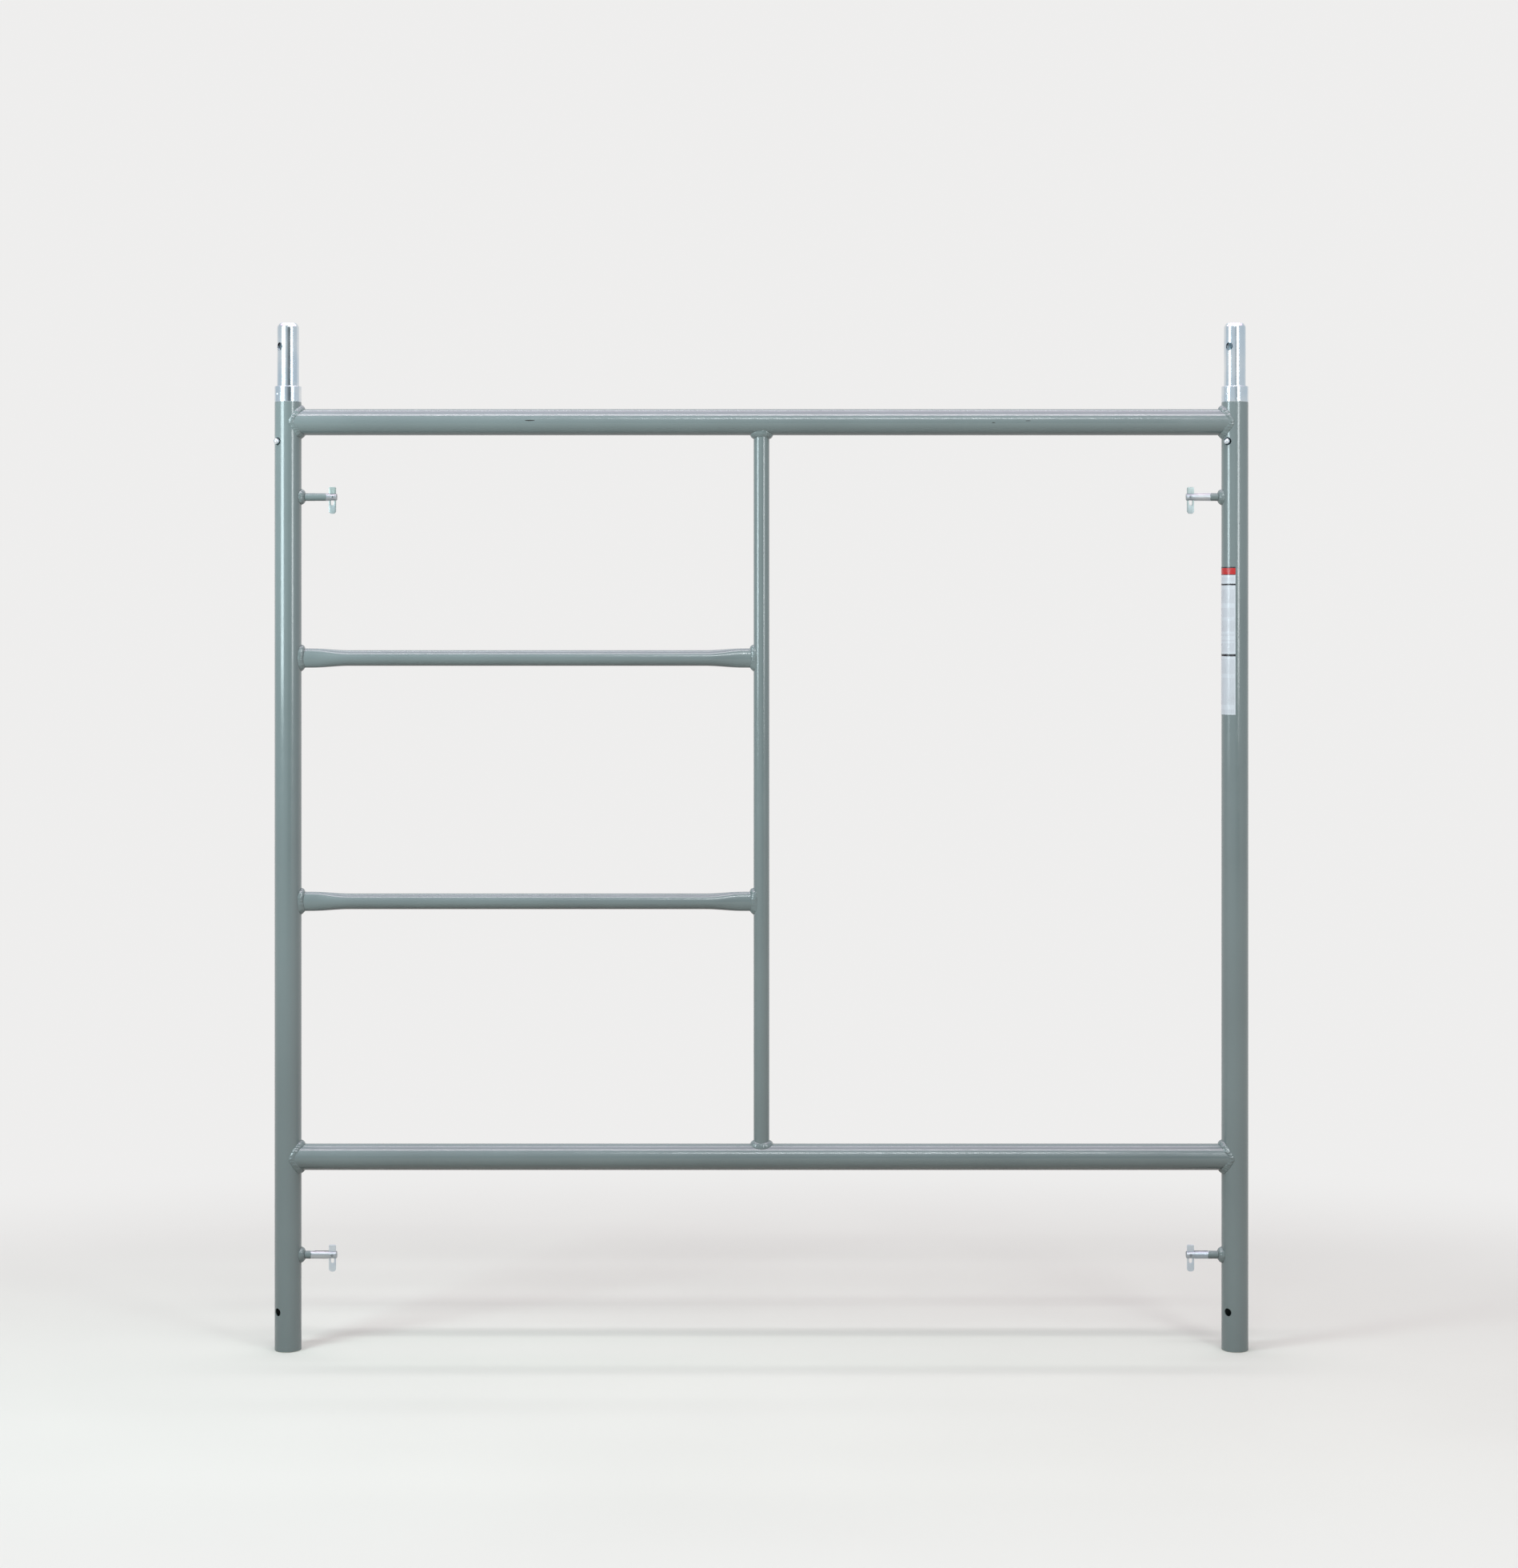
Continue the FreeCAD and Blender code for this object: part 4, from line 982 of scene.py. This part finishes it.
def make_post():
    """An upright tube from bearer to bearer, coped to both: a coped tube with its length turned to Z."""
    low, high = BEARER_HEIGHTS["bottom"], BEARER_HEIGHTS["top"]
    room = BEARER_RADIUS + COPE_ROOM
    along = np.concatenate([[low], np.linspace(low + room, high - room, TUBE_ROWS), [high]])
    half = np.full(len(along), POST_RADIUS)
    points = coped_tube(along, half, half, POST_WALL, (low, BEARER_RADIUS), (high, BEARER_RADIUS))
    skin = surface(points[:, :, ::-1], loop_rows=True)
    make_piece("centre_post_tube", [skin], paint, "frame", ["centre_post"])


def make_rung(level):
    """A round tube pressed to an oval at both ends.

    The flatness eases as (1 + cos(pi t)) / 2 over the flare.
    """
    flat_left = -LEG_AXIS + LEG_RADIUS + RUNG_FLAT
    flat_right = -POST_RADIUS - RUNG_FLAT
    left = np.linspace(flat_left, flat_left + RUNG_FLARE, FLARE_ROWS)
    right = np.linspace(flat_right - RUNG_FLARE, flat_right, FLARE_ROWS)
    left_end, right_end = [-LEG_AXIS, flat_left - RUNG_FLAT / 2], [flat_right + RUNG_FLAT / 2, 0]
    along = np.concatenate([left_end, left, right, right_end])
    past = np.clip(np.minimum(along - flat_left, flat_right - along) / RUNG_FLARE, 0, 1)
    flatness = (1 + np.cos(math.pi * past)) / 2
    half_depth = RUNG_RADIUS + flatness * (RUNG_END_DEPTH - RUNG_RADIUS)
    half_height = RUNG_RADIUS + flatness * (RUNG_END_HEIGHT - RUNG_RADIUS)
    points = coped_tube(along, half_depth, half_height, RUNG_WALL, (-LEG_AXIS, LEG_RADIUS), (0, POST_RADIUS))
    skin = surface(points + np.array([0, 0, RUNG_HEIGHTS[level]]), loop_rows=True)
    make_piece(f"{level}_rung_tube", [skin], paint, "frame", [f"{level}_rung"])


# Welds: how far each bead's waves start from those of the last of its kind
BEARER_BEAD_STEP, STUD_BEAD_STEP, POST_BEAD_STEP = 1.3, 2.1, 0.7


def make_beads():
    """The four families of welds: bearers to legs, post to bearers, rungs to leg and post, studs to legs."""
    families = {"bearer": [], "post": [], "rung": [], "stud": []}
    for side in SIDES.values():
        leg, inward = side * LEG_AXIS, (-side, 0, 0)
        for number, height in enumerate(BEARER_HEIGHTS.values()):
            start = BEARER_BEAD_STEP * number + side
            points = bead(LEG_RADIUS, BEARER_RADIUS, BEARER_RADIUS, HEAVY_BEAD, start)
            families["bearer"].append(seat_bead(points, (leg, 0, height), inward, UP))
        for number, height in enumerate(STUD_HEIGHTS.values()):
            start = STUD_BEAD_STEP * number + side
            points = bead(LEG_RADIUS, STUD_RADIUS, STUD_RADIUS, BLOB_BEAD, start)
            families["stud"].append(seat_bead(points, (leg, 0, height), inward, UP))
    for height, way in zip(BEARER_HEIGHTS.values(), (1, -1)):
        points = bead(BEARER_RADIUS, POST_RADIUS, POST_RADIUS, SMOOTH_BEAD, POST_BEAD_STEP * way)
        families["post"].append(seat_bead(points, (0, 0, height), (0, 0, way), (1, 0, 0)))
    for number, height in enumerate(RUNG_HEIGHTS.values()):
        for header, x, way in ((LEG_RADIUS, -LEG_AXIS, 1), (POST_RADIUS, 0, -1)):
            points = bead(header, RUNG_END_DEPTH, RUNG_END_HEIGHT, LUMPY_BEAD, number + way)
            families["rung"].append(seat_bead(points, (x, 0, height), (way, 0, 0), UP))
    for family, skins in families.items():
        replaced = [f"{family}_welds"]
        make_piece(f"{family}_weld_beads", skins, paint, "frame", replaced, crease=NO_CREASE)


def refinish(node, finish):
    """Give a node of the frame that stays in view its finish."""
    for slot in frame["nodes"][node].material_slots:
        slot.material = finish


# All the pieces
for name, side in SIDES.items():
    make_leg(name, side)
    make_pin(name, side)
    make_button(name, side)
    make_spring(name, side)
    for level in LEVELS:
        make_rivet(f"{level}_{name}")
        make_toggle(level, name)
make_collars()
for level in BEARER_HEIGHTS:
    make_bearer(level)
make_post()
for level in LEVELS:
    make_rung(level)
make_beads()
make_label()
refinish("lock_studs", stud_plating)

# Floor and wall
FLOOR_HALF_WIDTH, FLOOR_FRONT, SWEEP_START, SWEEP_RADIUS, SWEEP_TOP = 9.0, -7.0, 3.2, 2.0, 6.0
SWEEP_STEPS = 24
FLOOR_SEEN, FLOOR_LIT = (0.67, 0.72, 0.655, 1), (0.05, 0.042, 0.034, 1)
WALL_SEEN = (0.86, 0.855, 0.85, 1)
FLOOR_CLOUDS, FLOOR_CLOUD_SHARE = (1.5, 2.0), (0.96, 1.0)
FLOOR_ROUGH, FLOOR_SPECULAR = 0.9, 0.1
# an oval round the frame, of this depth for its width, past which the floor glows evenly
GLOW_START, GLOW_FULL, GLOW_DEPTH = 0.9, 2.8, 0.55
# the wall's share of light for its surroundings, from these heights up
WALL_FILL, WALL_FILL_LOW, WALL_FILL_HIGH = 1.0, 0.2, 1.5


def straight_rays(tree):
    """1 for rays from the camera, a mirror or glass, which see the backdrop, and 0 for the light from it."""
    rays = add_node(tree, "ShaderNodeLightPath").outputs
    mirrored = math_node(tree, "MAXIMUM", rays["Is Glossy Ray"], rays["Is Transmission Ray"])
    return math_node(tree, "MAXIMUM", rays["Is Camera Ray"], mirrored)


def floor_finish(name):
    """Matt floor that throws back little light, seen as pale.

    Far from the frame it glows evenly where it is seen, and the wall behind gives a soft fill light.
    """
    material, tree, shader = new_finish(name)
    straight = straight_rays(tree)
    place = object_place(tree)
    cloud = clouds(tree, place, FLOOR_CLOUDS, WIDE, FLOOR_CLOUD_SHARE)
    seen = math_node(tree, "MULTIPLY", straight, cloud)
    wire(tree, blend_colour(tree, seen, FLOOR_LIT, FLOOR_SEEN), shader, "Base Color")
    shader.inputs["Roughness"].default_value = FLOOR_ROUGH
    shader.inputs["Specular IOR Level"].default_value = FLOOR_SPECULAR
    oval = stretched(tree, place, (1.0, 1 / GLOW_DEPTH, 0.0))
    reach = add_node(tree, "ShaderNodeVectorMath", {0: oval}, operation="LENGTH").outputs["Value"]
    far = eased(tree, reach, GLOW_START, GLOW_FULL)
    wall = eased(tree, axes_of(tree, place)[2], WALL_FILL_LOW, WALL_FILL_HIGH)
    strength = blend_number(tree, straight, WALL_FILL, 1.0)
    glow = add_node(tree, "ShaderNodeEmission", {"Color": WALL_SEEN, "Strength": strength})
    share = blend_number(tree, straight, wall, far)
    mixed = add_node(tree, "ShaderNodeMixShader", {0: share, 1: shader.outputs[0], 2: glow.outputs[0]})
    wire(tree, mixed.outputs[0], tree.nodes["Material Output"], "Surface")
    return material


def make_floor():
    """A pale floor that sweeps up behind through a quarter circle to a wall."""
    bend = np.linspace(0, QUARTER_TURN, SWEEP_STEPS)
    sweep = np.stack([SWEEP_START + SWEEP_RADIUS * np.sin(bend), SWEEP_RADIUS * (1 - np.cos(bend))], axis=-1)
    profile = np.concatenate([[(FLOOR_FRONT, 0)], sweep, [(SWEEP_START + SWEEP_RADIUS, SWEEP_TOP)]])
    sides = np.array([-FLOOR_HALF_WIDTH, FLOOR_HALF_WIDTH])
    depth, height = profile[:, :1], profile[:, 1:]
    points = np.stack([sides + 0 * depth, depth + 0 * sides, height + 0 * sides], axis=-1)
    spots, cells = surface(points, loop_columns=False)
    mesh = bpy.data.meshes.new("floor")
    mesh.from_pydata(spots.tolist(), [], cells.tolist())
    mesh.shade_smooth()
    floor = bpy.data.objects.new("floor", mesh)
    bpy.context.scene.collection.objects.link(floor)
    mesh.materials.append(floor_finish("pale_floor"))


# Lamps
COOL, NEUTRAL = (0.84, 1.0, 1.04), (0.96, 1.0, 1.02)
WARM, MAUVE = (1.06, 0.97, 1.03), (1.4, 0.8, 1.15)
STEEP = 0.9


def strip_light(name, place, aim, size, power, tint):
    """A soft rectangular lamp at a place, facing a point: its back is away from it and its width is level."""
    lamp = bpy.data.lights.new(name, "AREA")
    lamp.shape = "RECTANGLE"
    lamp.size, lamp.size_y = size
    lamp.energy = power
    lamp.color = tint
    stand = bpy.data.objects.new(name, lamp)
    spot = np.array(place, float)
    back = unit(spot - np.array(aim, float))
    right = unit(np.cross(UP if abs(back[2]) < STEEP else (0, 1, 0), back))
    turn = np.eye(4)
    turn[:3, :3] = np.stack([right, np.cross(back, right), back], axis=1)
    turn[:3, 3] = spot
    stand.matrix_world = Matrix(turn.tolist())
    bpy.context.scene.collection.objects.link(stand)


make_floor()
strip_light("left_strip", place=(-1.75, -1.2, 1.75), aim=(-0.2, 0, 1.6),
            size=(0.7, 1.5), power=27, tint=COOL)
strip_light("right_strip", place=(1.6, -2.1, 1.75), aim=(0.1, 0, 1.6),
            size=(0.6, 1.5), power=19, tint=NEUTRAL)
strip_light("front_strip", place=(0.35, -2.6, 2.9), aim=(0.2, 0, 1.2),
            size=(1.3, 0.14), power=14, tint=NEUTRAL)
strip_light("overhead_strip", place=(0, -1.4, 4.4), aim=(0, 0, 1.2),
            size=(5.6, 0.35), power=55, tint=WARM)
strip_light("rear_strip", place=(0, 1.63, 4.4), aim=(0, 0, 1.2),
            size=(5.6, 0.35), power=31, tint=WARM)
strip_light("ceiling_panel", place=(0, 0.12, 4.6), aim=(0, 0.12, 0),
            size=(7.6, 3.1), power=55, tint=MAUVE)

# Surrounding light
FILL_LOW, FILL_HIGH = (0.8, 0.79, 0.765, 1), (0.2, 0.21, 0.22, 1)
FILL_TURN_START, FILL_TURN_END = 0.35, 0.65
MIRRORED_PALE, MIRRORED_DARK = (0.64, 0.7, 0.74, 1), (0.1, 0.125, 0.13, 1)
# bearings to the right of straight ahead between which the mirrored studio darkens and where that ends,
# and the rises between which the dark band fades out above and below
BAND_START, BAND_DARK, BAND_END, BAND_PAST = [math.radians(turn) for turn in (-20, 26, 29, 35)]
BAND_RISE, BAND_TOP = 0.2, 0.45


def make_world():
    """A studio that is dim as fill light, but pale where it is mirrored, apart from one dark band."""
    world = bpy.data.worlds.new("studio")
    world.use_nodes = True
    bpy.context.scene.world = world
    tree = world.node_tree
    way = axes_of(tree, add_node(tree, "ShaderNodeTexCoord").outputs["Generated"])
    bearing = math_node(tree, "ARCTAN2", way[0], math_node(tree, "MULTIPLY", way[1], -1.0))
    near, past = eased(tree, bearing, BAND_START, BAND_DARK), eased(tree, bearing, BAND_PAST, BAND_END)
    level = eased(tree, math_node(tree, "ABSOLUTE", way[2]), BAND_TOP, BAND_RISE)
    band = math_node(tree, "MULTIPLY", math_node(tree, "MULTIPLY", near, past), level)
    mirrored = blend_colour(tree, band, MIRRORED_PALE, MIRRORED_DARK)
    camera_ray = add_node(tree, "ShaderNodeLightPath").outputs["Is Camera Ray"]
    seen = blend_colour(tree, camera_ray, mirrored, WALL_SEEN)
    fill = blend_colour(tree, eased(tree, way[2], FILL_TURN_START, FILL_TURN_END), FILL_LOW, FILL_HIGH)
    wire(tree, blend_colour(tree, straight_rays(tree), fill, seen), tree.nodes["Background"], "Color")


make_world()

# Camera
CAMERA_PLACE = (-0.004, -4.5, 1.2)
LENS_MM, SENSOR_MM = 64.2, 36
VIEW_SHIFT = -0.115
eye = bpy.data.cameras.new("photo_view")
eye.sensor_fit = "AUTO"
eye.sensor_width = SENSOR_MM
eye.lens = LENS_MM
eye.shift_y = VIEW_SHIFT
camera = bpy.data.objects.new("photo_view", eye)
camera.location = CAMERA_PLACE
camera.rotation_euler = (QUARTER_TURN, 0, 0)
bpy.context.scene.collection.objects.link(camera)
bpy.context.scene.camera = camera
bpy.context.scene.view_settings.view_transform = "Standard"
